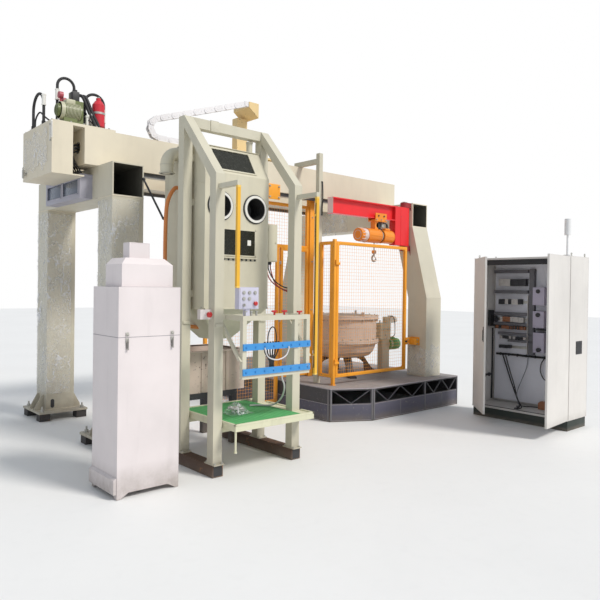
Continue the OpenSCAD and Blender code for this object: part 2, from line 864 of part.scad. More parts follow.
// Quench tank on a dark stand behind the table
quench_x = chamber_x + 105;
quench_wall = 8;
module quench_tank() {
    color("rosybrown") difference() {
        span([quench_x, quench_y, quench_z],
            [quench_x + quench_w, quench_y + quench_d, quench_z + quench_h]);
        translate([quench_x, quench_y, quench_z] + quench_wall * [1, 1, 1])
            cube([quench_w - 2 * quench_wall, quench_d - 2 * quench_wall, quench_h]);
    }
}

stand_leg = 60;
stand_w = 620;
module quench_stand() {
    x0 = quench_x + 10;
    x1 = x0 + stand_w;
    y1 = quench_y + quench_d;
    color("dimgray") {
        for (x = [x0, x1 - stand_leg], y = [quench_y, y1 - stand_leg])
            span([x, y, 0], [x + stand_leg, y + stand_leg, quench_z - stand_leg]);
        for (y = [quench_y, y1 - stand_leg])
            span([x0, y, quench_z - stand_leg], [x1, y + stand_leg, quench_z]);
        for (x = [x0, x1 - stand_leg])
            span([x, quench_y + stand_leg, quench_z - stand_leg],
                [x + stand_leg, y1 - stand_leg, quench_z]);
    }
}

// Dust collector on four tapered feet
foot_tip = 25;
foot_l = 95;
foot_z = 40;
module foot_gap(start, length) {
    polygon([[start + foot_tip, -1], [start + length - foot_tip, -1],
        [start + length - foot_l, foot_z], [start + foot_l, foot_z]]);
}

module dust_collector() {
    color("white") difference() {
        translate([collector_x, collector_y, 0]) cube([collector_w, collector_d, collector_h]);
        along_y(collector_y - 1, collector_d + 2) foot_gap(collector_x, collector_w);
        along_x(collector_x - 1, collector_w + 2) foot_gap(collector_y, collector_d);
    }
}

// Fan box with sloping shoulders at the top of three sides, and the silencer on its roof
fan_inset = 45;
fan_w = 430;
fan_d = 280;
shoulder_w = 50;
shoulder_h = 50;
silencer_w = 169;
silencer_d = 106;
silencer_h = 120;
module collector_fan_box() {
    low = [collector_x + fan_inset, collector_y + fan_inset, collector_h];
    color("whitesmoke") translate(low) {
        intersection() {
            translate([0, fan_d, 0]) rotate([90, 0, 0]) linear_extrude(fan_d)
                polygon([[0, 0], [fan_w, 0], [fan_w, fan_box_h - shoulder_h],
                    [fan_w - shoulder_w, fan_box_h], [shoulder_w, fan_box_h],
                    [0, fan_box_h - shoulder_h]]);
            rotate([90, 0, 90]) linear_extrude(fan_w)
                polygon([[0, 0], [fan_d, 0], [fan_d, fan_box_h], [fan_inset, fan_box_h],
                    [0, fan_box_h - shoulder_h]]);
        }
        translate([2 * shoulder_w + 5, 95, fan_box_h])
            cube([silencer_w, silencer_d, silencer_h]);
    }
}

// Platform under the furnace and the right portal
module platform_outline(inset) {
    y1 = 2 * mid_y - platform_y;
    offset(delta = -inset) polygon([[platform_x, platform_y + corner_y],
        [platform_x + corner_x, platform_y], [platform_end_x, platform_y],
        [platform_end_x, y1], [platform_x + corner_x, y1], [platform_x, y1 - corner_y]]);
}

module platform_deck() {
    color("gray") translate([0, 0, platform_h - deck_t]) linear_extrude(deck_t)
        platform_outline(0);
}

// Upright wall of the platform with braced windows above a closed band
platform_wall = 15;
band_z = 215;
window_h = 155;
wide_window = 972;
brace_w = 22;

// Row of openings in a wall, each one left between two slanting braces
module brace_window(width, height, cells) {
    cell = width / cells;
    difference() {
        square([width, height]);
        for (i = [0:cells - 1]) translate([i * cell, 0]) {
            polygon([[0, height], [brace_w, height], [cell / 2 + brace_w / 2, 0],
                [cell / 2 - brace_w / 2, 0]]);
            polygon([[cell - brace_w, height], [cell, height], [cell / 2 + brace_w / 2, 0],
                [cell / 2 - brace_w / 2, 0]]);
        }
    }
}

module platform_frame() {
    corner_l = norm([corner_x, corner_y]);
    deep = platform_wall + 10;
    front_x = platform_x + corner_x;
    color("dimgray") difference() {
        linear_extrude(platform_h - deck_t) platform_outline(0);
        translate([0, 0, -1]) linear_extrude(platform_h) platform_outline(platform_wall);
        along_y(platform_y - 5, deep) translate([front_x + 30, band_z])
            brace_window(wide_window, window_h, 2);
        along_y(platform_y - 5, deep) translate([front_x + wide_window + 70, band_z])
            brace_window(platform_end_x - front_x - wide_window - 100, window_h, 2);
        translate([platform_x, platform_y + corner_y, 0])
            rotate([0, 0, -atan2(corner_y, corner_x)]) along_y(-5, deep)
                translate([25, band_z]) brace_window(corner_l - 60, window_h, 1);
    }
}

// Tall post whose arm rests on the front beam
arm_post_w = 60;
arm_post_x = gate_x - arm_post_w - 5;
arm_post_y = portal_front_y - 43;
module arm_post() {
    color("beige") {
        span([arm_post_x, arm_post_y, platform_h],
            [arm_post_x + arm_post_w, arm_post_y + arm_post_w, beam_top + 125]);
        span([arm_post_x, arm_post_y + arm_post_w, beam_top],
            [arm_post_x + arm_post_w, beam_y + 100, beam_top + arm_post_w]);
    }
}

// Flat welded mesh, drawn in X and Z from the low corner
module mesh_sheet(width, height) {
    nx = ceil(width / mesh_pitch);
    nz = ceil(height / mesh_pitch);
    px = width / nx;
    pz = height / nz;
    difference() {
        square([width, height]);
        for (i = [0:nx - 1], k = [0:nz - 1])
            translate([i * px + mesh_bar / 2, k * pz + mesh_bar / 2])
                square([px - mesh_bar, pz - mesh_bar]);
    }
}

// A framed mesh panel in the plane of X and Z
module mesh_panel(x, y, z, width, height, tube) {
    along_y(y - tube / 2, tube) translate([x, z]) difference() {
        square([width, height]);
        translate([tube, tube]) square([width - 2 * tube, height - 2 * tube]);
    }
    along_y(y - mesh_bar / 2, mesh_bar) translate([x + tube, z + tube])
        mesh_sheet(width - 2 * tube, height - 2 * tube);
}

gate_z = platform_h + gate_lift;
eye_d = 18;
eye_h = 30;
gate_pin_d = 10;
gate_post_w = 40;
gate_axis_x = gate_x - 25;
gate_axis_y = gate_y - gate_post_w / 2 - eye_d / 2 - 5;
gate_eyes = [gate_z + 200, gate_z + gate_h - 260];
gate_front_y = gate_y - gate_tube / 2;
module gate() {
    color("orange") {
        mesh_panel(gate_x, gate_y, gate_z, gate_w, gate_h, gate_tube);
        for (z = gate_eyes) translate([gate_axis_x, gate_axis_y, z - eye_h - seat]) {
            cylinder(d = eye_d, h = eye_h);
            cylinder(d = gate_pin_d, h = 2 * eye_h);
            span([0, -5, 0], [gate_x + gate_tube - gate_axis_x, 5, eye_h]);
            span([gate_x + 10 - gate_axis_x, -5, 0],
                [gate_x + gate_tube - gate_axis_x, gate_front_y - gate_axis_y + 1, eye_h]);
        }
    }
}

// Hinge post of the gate with a narrow side panel behind it, and the latch arm on the leg
latch_z = 830;
latch_h = 95;
latch_w = 90;
latch_l = 125;
module gate_posts() {
    post_x = gate_x - 5 - gate_post_w;
    post_rear_y = gate_y + gate_post_w / 2;
    side_w = arm_post_y - post_rear_y;
    color("orange") difference() {
        union() {
            span([post_x, gate_y - gate_post_w / 2, platform_h],
                [post_x + gate_post_w, post_rear_y, gate_z + gate_h + 25]);
            for (z = gate_eyes) translate([gate_axis_x, gate_axis_y, z]) {
                cylinder(d = eye_d, h = eye_h);
                span([-8, 0, 0], [8, eye_d / 2 + 6, eye_h]);
            }
            translate([post_x + gate_post_w / 2, post_rear_y, 0]) rotate([0, 0, 90])
                mesh_panel(-1, 0, gate_z, side_w + 1, gate_h, gate_tube);
        }
        for (z = gate_eyes) translate([gate_axis_x, gate_axis_y, z - 1])
            cylinder(d = gate_pin_d + 0.1, h = eye_h + 2);
    }
    color("orange") {
        span([gate_x + gate_w + 6, gate_y - gate_tube / 2, latch_z],
            [right_portal_x, gate_y + gate_tube / 2, latch_z + latch_h]);
        span([right_portal_x - latch_w, gate_y - latch_l, latch_z],
            [right_portal_x, gate_y, latch_z + latch_h - 10]);
    }
}

screen_y = beam_y + beam_w / 2;
screen_z = 100;
screen_post_w = 80;
hanger_x = 82;
hanger_w = 190;
hanger_t = 12;
module mesh_screen() {
    low_w = platform_x - 20 - screen_x;
    split_z = beam_z - 682;
    top_z = beam_z - 102;
    post_x = screen_x + screen_w;
    color("orange") {
        mesh_panel(screen_x, screen_y, screen_z, low_w, split_z - screen_z, gate_tube);
        mesh_panel(platform_x + 10, screen_y, platform_h + 20, screen_w - low_w - 30,
            split_z - platform_h - 20, gate_tube);
        mesh_panel(screen_x, screen_y, split_z - 1, screen_w, top_z - split_z + 1, gate_tube);
        span([screen_x, screen_y - 30, 0], [screen_x + 60, screen_y + 30, screen_z + 1]);
        span([screen_x + 200, screen_y - 30, top_z - 10],
            [screen_x + 260, screen_y + 30, beam_z]);
        span([post_x - 1, screen_y - screen_post_w / 2, platform_h],
            [post_x + screen_post_w, screen_y + screen_post_w / 2, beam_z]);
        span([hanger_x, beam_y - hanger_t, beam_z - 100],
            [hanger_x + hanger_w, beam_y, beam_z + 90]);
        span([hanger_x, beam_y - 1, beam_z - rail_h - seat - hanger_t],
            [hanger_x + hanger_w, screen_y + 20, beam_z - rail_h - seat]);
        span([hanger_x + 60, screen_y - 20, top_z - 10],
            [hanger_x + 100, screen_y + 20, beam_z - rail_h - seat - 1]);
    }
}

// Furnace vessel with its clamping ring, round bottom and sunken lid
ring_z = 845;
module furnace_vessel() {
    r = furnace_d / 2;
    low = furnace_low_z;
    color("rosybrown") translate([furnace_x, furnace_y, 0]) rotate_extrude($fn = 64)
        polygon([[0, low], [r - 190, low], [r - 120, low + 25], [r - 70, low + 80],
            [r - 40, low + 160], [r - 30, ring_z], [r, ring_z], [r, ring_z + 50],
            [r - 30, ring_z + 50], [r - 30, furnace_top_z - 45], [r, furnace_top_z - 45],
            [r, furnace_top_z], [r - 90, furnace_top_z], [r - 110, furnace_top_z - 60],
            [0, furnace_top_z - 60]]);
}

// Four flared legs under the furnace
leg_t = 90;
toe = 60;
module furnace_pedestal() {
    h = furnace_low_z - platform_h;
    r = furnace_d / 2;
    color("dimgray") translate([furnace_x, furnace_y, platform_h])
        for (a = [-30, 60, 150, 240]) rotate([0, 0, a]) translate([0, leg_t / 2, 0])
            rotate([90, 0, 0]) linear_extrude(leg_t) polygon([[r - 300, h], [r - 290, h - 35],
                [r - 230, h - 60], [r - 180, h - 105], [r - 165, 0], [r + toe, 0],
                [r + toe, 22], [r - 10, 34], [r - 70, 70], [r - 120, 130], [r - 200, h]]);
}

// Gearbox on a pillar beside the furnace, with two motors
gearbox_w = 215;
gearbox_d = 130;
gearbox_low_z = 870;
gearbox_top_z = 1105;
pillar_w = 155;
pillar_d = 90;
drive_motor_d = 150;
drive_motor_l = 215;
small_motor_d = 90;
small_motor_l = 150;
shaft_d = 60;
module furnace_drive() {
    x = furnace_x + 470;
    y = furnace_y - 300;
    x1 = x + gearbox_w;
    mid = y + gearbox_d / 2;
    color("lightgray") {
        span([x, y, gearbox_low_z], [x1, y + gearbox_d, gearbox_top_z]);
        span([x1 - pillar_w, y + 20, platform_h], [x1, y + 20 + pillar_d, gearbox_low_z]);
        translate([x - 30, y + gearbox_d - 40, gearbox_top_z - 115]) rotate([0, 90, 0])
            cylinder(d = shaft_d, h = 50);
        translate([x1, mid, gearbox_low_z - 80]) rotate([0, 90, 0])
            cylinder(d = drive_motor_d, h = drive_motor_l);
        span([x1 - 65, mid - 35, gearbox_top_z], [x1 + 15, mid + 35, gearbox_top_z + 85]);
        translate([x1 + 15, mid, gearbox_top_z + 40]) rotate([0, 90, 0])
            cylinder(d = small_motor_d, h = small_motor_l);
    }
}

// Hinge brackets of the jib, on the right leg and cross tube
hinge_h = 70;
pin_d = 60;
bore_d = 60.1;
module jib_hinges() {
    color("firebrick") for (z = [jib_z + jib_h + seat, jib_low_z - hinge_h - seat])
        difference() {
            union() {
                translate([jib_x, jib_y, z]) cylinder(d = 110, h = hinge_h);
                span([jib_x, jib_y - 55, z], [right_portal_x, jib_y + 55, z + hinge_h]);
            }
            translate([jib_x, jib_y, z - 1]) cylinder(d = bore_d, h = hinge_h + 2);
        }
}

module jib_arm() {
    x0 = jib_x - jib_reach;
    mast_x = jib_x - 250;
    color("red") {
        for (z = [jib_z, jib_z + jib_h - 14])
            span([x0, jib_y - jib_flange_w / 2, z], [mast_x, jib_y + jib_flange_w / 2, z + 14]);
        span([x0, jib_y - 5, jib_z + 14], [mast_x, jib_y + 5, jib_z + jib_h - 14]);
        span([mast_x, jib_y - 50, jib_low_z], [jib_x + 50, jib_y + 50, jib_z + jib_h]);
        translate([jib_x, jib_y, jib_low_z - hinge_h]) cylinder(d = pin_d, h = hinge_h);
        translate([jib_x, jib_y, jib_z + jib_h]) cylinder(d = pin_d, h = hinge_h);
    }
}

// Hoist hanging under the jib arm, with its chain and hook
hoist_x = jib_x - hoist_reach;
hoist_z = jib_z - 230;
motor_cap_l = 130;
body_l = 260;
neck_l = 50;
hoist_neck_d = 140;
trolley_gap = 6;
trolley_w = 220;
trolley_shift = 60;
trolley_t = 12;
wheel_d = 40;
module hoist() {
    axle_x = hoist_x + trolley_shift;
    side_y = jib_flange_w / 2 + trolley_gap;
    color("orange") {
        translate([hoist_x - hoist_l / 2, jib_y, hoist_z]) rotate([0, 90, 0]) {
            cylinder(d = hoist_d - 20, h = motor_cap_l);
            translate([0, 0, motor_cap_l]) cylinder(d = hoist_d, h = body_l);
            translate([0, 0, motor_cap_l + body_l]) cylinder(d = hoist_neck_d, h = neck_l);
            translate([0, 0, motor_cap_l + body_l + neck_l])
                cylinder(d = hoist_d - 10, h = hoist_l - motor_cap_l - body_l - neck_l);
        }
        span([hoist_x - 30, jib_y - 40, hoist_z], [hoist_x + 30, jib_y + 40, jib_z - trolley_gap]);
        for (side = [-1, 1]) {
            y = jib_y + side * (side_y + trolley_t / 2);
            span([axle_x - trolley_w / 2, y - trolley_t / 2, jib_z - 40],
                [axle_x + trolley_w / 2, y + trolley_t / 2, jib_z + 70]);
        }
        span([axle_x - trolley_w / 2, jib_y - side_y, jib_z - 40],
            [axle_x + trolley_w / 2, jib_y + side_y, jib_z - 20]);
        for (side = [-1, 1], x = [-trolley_w / 4, trolley_w / 4])
            translate([axle_x + x, jib_y + side * side_y, jib_z + 14 + seat + wheel_d / 2])
                rotate([side * 90, 0, 0]) cylinder(d = wheel_d, h = 35);
    }
}

module hoist_chain() {
    color("gray") span([hoist_x - 6, jib_y - 6, hook_z + 160],
        [hoist_x + 6, jib_y + 6, hoist_z - hoist_d / 2]);
}

module hoist_hook() {
    color("dimgray") {
        translate([hoist_x, jib_y, hook_z + 110]) cylinder(d = 44, h = 50 - seat);
        translate([hoist_x, jib_y, hook_z + 88]) cylinder(d = 22, h = 30);
        translate([hoist_x, jib_y, hook_z + 50]) rotate([90, 0, 0]) rotate([0, 0, 85])
            rotate_extrude(angle = 265) translate([38, 0]) circle(d = 24);
    }
}

// Switch cabinet, open at the front, with ears that hold the door pins
door_gap = 5;
ear_t = door_gap - seat;
door_pin_d = 10;
door_axis_x = cabinet_x + door_t / 2;
near_axis_y = cabinet_y + door_t / 2;
far_axis_y = cabinet_y + cabinet_w - door_t / 2;
module cabinet_ears() {
    for (y = [near_axis_y, far_axis_y], z = [plinth_h, cabinet_h - ear_t]) difference() {
        span([cabinet_x, y - door_t / 2, z], [cabinet_x + door_t + door_gap, y + door_t / 2, z + ear_t]);
        translate([door_axis_x, y, z - 1]) cylinder(d = door_pin_d + 0.1, h = ear_t + 2);
    }
}

module cabinet_shell() {
    x1 = cabinet_x + cabinet_d;
    y1 = cabinet_y + cabinet_w;
    color("whitesmoke") cabinet_ears();
    color("whitesmoke") {
        span([cabinet_x + 20, cabinet_y + 10, 0], [x1 - 10, y1 - 10, plinth_h]);
        difference() {
            span([cabinet_x + door_t + door_gap, cabinet_y, plinth_h], [x1, y1, cabinet_h]);
            span([cabinet_x, cabinet_y + cabinet_wall, plinth_h + cabinet_wall],
                [x1 - cabinet_wall, y1 - cabinet_wall, cabinet_h - cabinet_wall]);
        }
    }
}

// Mounting plate on the inside of the rear wall
plate_t = 40;
plate_edge = 60;
module cabinet_plate() {
    rear = cabinet_x + cabinet_d - cabinet_wall;
    color("thistle") span([rear - plate_t, cabinet_y + plate_edge, plinth_h + plate_edge],
        [rear, cabinet_y + cabinet_w - plate_edge, cabinet_h - plate_edge]);
}

leaf_w = (cabinet_w - door_gap) / 2;
// A cabinet door, drawn closed with its hinge axis on the origin, reaching towards +Y
module leaf() {
    low = plinth_h + door_gap;
    high = cabinet_h - door_gap;
    translate([0, 0, low]) cylinder(d = door_t, h = high - low);
    span([-door_t / 2, 0, low], [door_t / 2, leaf_w - door_t / 2, high]);
    translate([0, 0, low - ear_t - seat]) cylinder(d = door_pin_d, h = high - low + 2 * door_gap);
}

module cabinet_near_door() {
    color("whitesmoke") translate([door_axis_x, near_axis_y, 0]) rotate([0, 0, near_open]) leaf();
}

module cabinet_far_door() {
    color("whitesmoke") translate([door_axis_x, far_axis_y, 0]) rotate([0, 0, -far_open])
        mirror([0, 1, 0]) leaf();
}

// Signal lamp on a pole, near the front corner of the roof
lamp_inset = 60;
lamp_base_d = 80;
lamp_base_h = 12;
pole_d = 22;
pole_h = 240;
lamp_d = 70;
lamp_h = 185;
module signal_lamp() {
    color("white") translate([cabinet_x + lamp_inset, cabinet_y + lamp_inset, cabinet_h]) {
        cylinder(d = lamp_base_d, h = lamp_base_h);
        cylinder(d = pole_d, h = pole_h + 2);
        translate([0, 0, pole_h]) cylinder(d = lamp_d, h = lamp_h);
    }
}

left_columns();
column_blocks();
left_cross_tube();
right_legs();
right_cross_tube();
gantry_beams();
beam_rails();
oil_tank();
pump_unit();
accumulator();
tank_hoses();
terminal_box();
carriage_tower();
cable_chain();
station_side_frames();
station_top_bar();
station_skids();
chamber_shell();
chamber_windows();
glove_rings();
chamber_hopper();
exhaust_elbows();
chamber_control_box();
light_curtains();
curtain_arms();
tool_rack();
tool_bars();
operator_panel();
stop_box();
work_table();
quench_tank();
quench_stand();
dust_collector();
collector_fan_box();
platform_deck();
platform_frame();
arm_post();
gate_posts();
gate();
mesh_screen();
furnace_vessel();
furnace_pedestal();
furnace_drive();
jib_hinges();
jib_arm();
hoist();
hoist_chain();
hoist_hook();
cabinet_shell();
cabinet_plate();
cabinet_near_door();
cabinet_far_door();
signal_lamp();
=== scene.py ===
# %% [markdown]
# # Looks of the gantry die casting machine
# The construction comes in as a fixed frame. This lesson dresses it: first the camera, then a small
# workshop of helper functions and paints, then one group of pieces after the other.

# %% Load the frame
import math
import random

import bmesh
import bpy
from mathutils import Matrix, Vector


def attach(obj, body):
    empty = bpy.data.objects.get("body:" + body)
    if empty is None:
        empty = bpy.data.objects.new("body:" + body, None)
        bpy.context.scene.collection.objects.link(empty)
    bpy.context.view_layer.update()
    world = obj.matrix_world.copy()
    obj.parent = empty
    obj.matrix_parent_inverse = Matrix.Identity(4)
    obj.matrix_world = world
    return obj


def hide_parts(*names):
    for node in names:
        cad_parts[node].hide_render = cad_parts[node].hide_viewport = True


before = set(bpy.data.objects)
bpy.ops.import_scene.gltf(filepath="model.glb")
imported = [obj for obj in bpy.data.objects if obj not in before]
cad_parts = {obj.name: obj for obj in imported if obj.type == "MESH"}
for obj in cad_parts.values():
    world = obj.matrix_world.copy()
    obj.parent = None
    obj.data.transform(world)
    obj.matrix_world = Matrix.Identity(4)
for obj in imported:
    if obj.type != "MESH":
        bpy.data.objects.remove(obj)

random.seed(7)
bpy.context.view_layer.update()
print("frame loaded with", len(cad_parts), "nodes")

# %% [markdown]
# ## First helpers
# Three small functions are used by everything below: one links a new object into the scene, the other
# two set up the nodes of shaders.

# %% First helpers
def place_object(name, data):
    """A new object with this data, linked into the scene."""
    made = bpy.data.objects.new(name, data)
    bpy.context.scene.collection.objects.link(made)
    return made


def feed(tree, socket, value):
    """Sets a socket to a number, a vector or a colour, or links the output of another node to it."""
    if isinstance(value, bpy.types.NodeSocket):
        tree.links.new(value, socket)
    elif socket.type == "RGBA":
        socket.default_value = (*value[:3], 1.0)
    else:
        socket.default_value = value


def shader_node(tree, kind, **values):
    """A new shader node whose inputs are fed by name. An underscore stands for a space."""
    made = tree.nodes.new("ShaderNode" + kind)
    for name, value in values.items():
        feed(tree, made.inputs[name.replace("_", " ")], value)
    return made


print("first helpers ready")

# %% [markdown]
# ## Camera
# The camera stands 1.6 m above the floor in front of the station and looks along the plant. Its place
# and its lens were solved from straight edges, so the picture lines up with the real view. A matrix
# built from three directions leaves no doubt about roll.

# %% Camera
EYE = Vector((-4.72, -5.79, 1.6))
YAW, PITCH, ROLL = math.radians(41.684), math.radians(-0.537), math.radians(0.773)
ahead = Vector((math.sin(YAW) * math.cos(PITCH), math.cos(YAW) * math.cos(PITCH), math.sin(PITCH)))
right = Vector((math.cos(YAW), -math.sin(YAW), 0.0))
above = right.cross(ahead)
side = math.cos(ROLL) * right + math.sin(ROLL) * above
top = -math.sin(ROLL) * right + math.cos(ROLL) * above
lens = bpy.data.cameras.new("camera")
lens.lens = 36.99
lens.sensor_width = 36.0
lens.shift_y = -0.0114
lens.clip_end = 200.0
camera = place_object("camera", lens)
turn = Matrix((side, top, -ahead)).transposed()
camera.matrix_world = Matrix.Translation(EYE) @ turn.to_4x4()
bpy.context.scene.camera = camera
bpy.context.scene.view_settings.view_transform = "Standard"
print("camera at", tuple(EYE))

# %% [markdown]
# ## Light and floor
# The plant stands in daylight: front faces are bright, left faces lie in soft shade. One broad sun
# from the right and a bright sky give that. The sky looks white to the camera only, and the floor is
# a pale sheet that keeps the shadows.

# %% Light and floor
world = bpy.data.worlds.new("sky")
bpy.context.scene.world = world
world.use_nodes = True
sky = world.node_tree
sky.nodes.clear()
sky_out = shader_node(sky, "OutputWorld")
seen = shader_node(sky, "Background", Color=(1.0, 1.0, 1.0), Strength=1.0)
lit = shader_node(sky, "Background", Color=(0.86, 0.92, 1.0), Strength=0.62)
rays = shader_node(sky, "LightPath")
choice = shader_node(sky, "MixShader")
for socket, source in zip(choice.inputs, (rays.outputs["Is Camera Ray"], lit.outputs[0], seen.outputs[0])):
    sky.links.new(source, socket)
sky.links.new(choice.outputs[0], sky_out.inputs["Surface"])

sun = bpy.data.lights.new("sun", "SUN")
sun.energy = 2.5
sun.angle = math.radians(14)
sun.color = (1.0, 0.96, 0.9)
sun_object = place_object("sun", sun)
SUN_FROM = Vector((1.6, -4.2, 4.6))
sun_object.rotation_euler = SUN_FROM.to_track_quat("Z", "Y").to_euler()

FLOOR_SIZE = 60.0
floor_mesh = bmesh.new()
bmesh.ops.create_grid(floor_mesh, x_segments=4, y_segments=4, size=FLOOR_SIZE / 2)
bmesh.ops.translate(floor_mesh, verts=floor_mesh.verts, vec=(4.0, 6.0, -0.002))
floor_data = bpy.data.meshes.new("floor")
floor_mesh.to_mesh(floor_data)
floor_mesh.free()
floor = place_object("floor", floor_data)
print("sun and floor ready")

# %% [markdown]
# ## A paint shop
# Every surface gets a procedural paint: the base colour drifts slowly, runs and grime darken it, small
# chips show the metal, and a fine grain sits in the bump. All of it hangs on object coordinates, so it
# stays with the piece when the piece moves. One function with a few knobs keeps the paints related.

# %% Paint functions
def shader_tree(name):
    material = bpy.data.materials.new(name)
    material.use_nodes = True
    tree = material.node_tree
    tree.nodes.clear()
    body = shader_node(tree, "BsdfPrincipled")
    shader_node(tree, "OutputMaterial", Surface=body.outputs[0])
    return material, tree, body, shader_node(tree, "TexCoord").outputs["Object"]


def noise(tree, place, scale, detail=4.0, stretch=None, rough=0.55):
    if stretch is not None:
        place = shader_node(tree, "Mapping", Vector=place, Scale=stretch).outputs["Vector"]
    grain = shader_node(tree, "TexNoise", Scale=scale, Detail=detail, Roughness=rough, Vector=place)
    return grain.outputs["Fac"]


def ramp(tree, source, low, high, out_low=0.0, out_high=1.0):
    """Spreads the values between low and high over the range of the output, and clips the rest."""
    step = shader_node(tree, "MapRange", Value=source, From_Min=low, From_Max=high, To_Min=out_low,
        To_Max=out_high)
    return step.outputs["Result"]


def maths(tree, operation, *values):
    made = shader_node(tree, "Math")
    made.operation = operation
    for socket, value in zip(made.inputs, values):
        feed(tree, socket, value)
    return made.outputs[0]


def times(tree, first, second):
    return maths(tree, "MULTIPLY", first, second)


# The places of the factor, the two sources and the result on a mix node.
MIX_SOCKETS = {"RGBA": (0, 6, 7, 2), "FLOAT": (0, 2, 3, 0)}


def blend(tree, kind, *values):
    """Mixes two colours (RGBA) or two numbers (FLOAT). The values are the factor and the two sources."""
    *places, result = MIX_SOCKETS[kind]
    mix = shader_node(tree, "Mix")
    mix.data_type = kind
    for k, value in zip(places, values):
        feed(tree, mix.inputs[k], value)
    return mix.outputs[result]


def bump(tree, body, height, strength, distance=0.002):
    relief = shader_node(tree, "Bump", Strength=strength, Distance=distance, Height=height)
    tree.links.new(relief.outputs["Normal"], body.inputs["Normal"])


def shade(colour, factor):
    return tuple(min(1.0, channel * factor) for channel in colour)


FLOOR_DIRT = (0.2, 0.165, 0.13)
GLASS_IOR = 1.45


def paint(name, colour, rough=0.42, drift=0.08, grime=0.25, chips=0.0, grain=260.0, relief=0.12, foot=0.0,
        metal=0.0, coat=0.0, under=(0.16, 0.13, 0.11), patch=1.3):
    material, tree, body, place = shader_tree(name)
    slow = noise(tree, place, patch, 5.0)
    base = blend(tree, "RGBA", ramp(tree, slow, 0.3, 0.7), shade(colour, 1.0 - drift),
        shade(colour, 1.0 + drift))
    runs = noise(tree, place, 1.0, 6.0, stretch=(9.0, 9.0, 1.1))
    smudge = noise(tree, place, 5.0, 8.0, rough=0.68)
    stain = times(tree, ramp(tree, runs, 0.52, 0.78), ramp(tree, smudge, 0.35, 0.75, 0.2))
    stain = times(tree, stain, grime)
    dirty = blend(tree, "RGBA", stain, base, shade(colour, 0.38))
    if foot > 0.0:
        split = shader_node(tree, "SeparateXYZ", Vector=place)
        low = ramp(tree, split.outputs["Z"], 0.0, foot, 1.0, 0.0)
        low = times(tree, low, ramp(tree, smudge, 0.3, 0.7, 0.25, 0.95))
        dirty = blend(tree, "RGBA", low, dirty, FLOOR_DIRT)
    roughness = blend(tree, "FLOAT", ramp(tree, smudge, 0.3, 0.8), rough, min(1.0, rough + 0.22))
    if chips > 0.0:
        flake = noise(tree, place, 34.0, 5.0, rough=0.6)
        worn = noise(tree, place, 3.1, 3.0)
        bare = times(tree, ramp(tree, flake, 0.66 - chips * 0.1, 0.7 - chips * 0.1),
            ramp(tree, worn, 0.5, 0.58))
        dirty = blend(tree, "RGBA", bare, dirty, under)
        roughness = blend(tree, "FLOAT", bare, roughness, 0.62)
    for socket, value in (("Base Color", dirty), ("Roughness", roughness), ("Metallic", metal),
            ("Coat Weight", coat), ("Coat Roughness", 0.15)):
        feed(tree, body.inputs[socket], value)
    bump(tree, body, noise(tree, place, grain, 3.0), relief)
    return material


def clear(name, colour, seen, ripple, relief):
    """Glass with a little dust."""
    material, tree, body, place = shader_tree(name)
    wave = noise(tree, place, ripple, 3.0)
    tint = blend(tree, "RGBA", ramp(tree, wave, 0.3, 0.7), shade(colour, 0.85), shade(colour, 1.15))
    dust = noise(tree, place, 23.0, 8.0)
    for socket, value in (("Base Color", tint), ("IOR", GLASS_IOR),
            ("Roughness", ramp(tree, dust, 0.35, 0.75, 0.12, 0.37)),
            ("Alpha", ramp(tree, dust, 0.3, 0.8, seen, min(1.0, seen + 0.2)))):
        feed(tree, body.inputs[socket], value)
    bump(tree, body, wave, relief, 0.004)
    return material


# Painted white highlights along the creases of the film: the scale of the noise, its stretch, the width of a
# crease and its strength.
CREASE_HIGHLIGHTS = ((7.0, (1.0, 1.0, 0.55), 0.016, 1.0), (17.0, (1.3, 1.3, 0.8), 0.02, 0.7),
    (38.0, (1.0, 1.0, 1.0), 0.022, 0.45))


def cling_film(name, colour):
    """Clear film: nearly unseen where it lies flat, with painted white highlights along its creases."""
    material, tree, body, place = shader_tree(name)
    total = 0.0
    for scale, stretch, width, strength in CREASE_HIGHLIGHTS:
        crease = maths(tree, "COMPARE", noise(tree, place, scale, 3.0, stretch=stretch), 0.5, width)
        patches = ramp(tree, noise(tree, place, 3.1 + scale / 9, 2.0), 0.45, 0.62)
        line = times(tree, crease, times(tree, patches, strength))
        total = maths(tree, "MAXIMUM", total, line)
    for socket, value in (("Base Color", colour), ("Roughness", 0.16), ("IOR", GLASS_IOR),
            ("Alpha", ramp(tree, total, 0.0, 1.0, 0.06, 0.55))):
        feed(tree, body.inputs[socket], value)
    bump(tree, body, noise(tree, place, 16.0, 4.0, stretch=(1.0, 1.0, 0.6)), 0.9, 0.006)
    return material


print("paint functions ready")

# %% [markdown]
# ## The paints
# Colours are linear values of what the real surfaces show under neutral light.

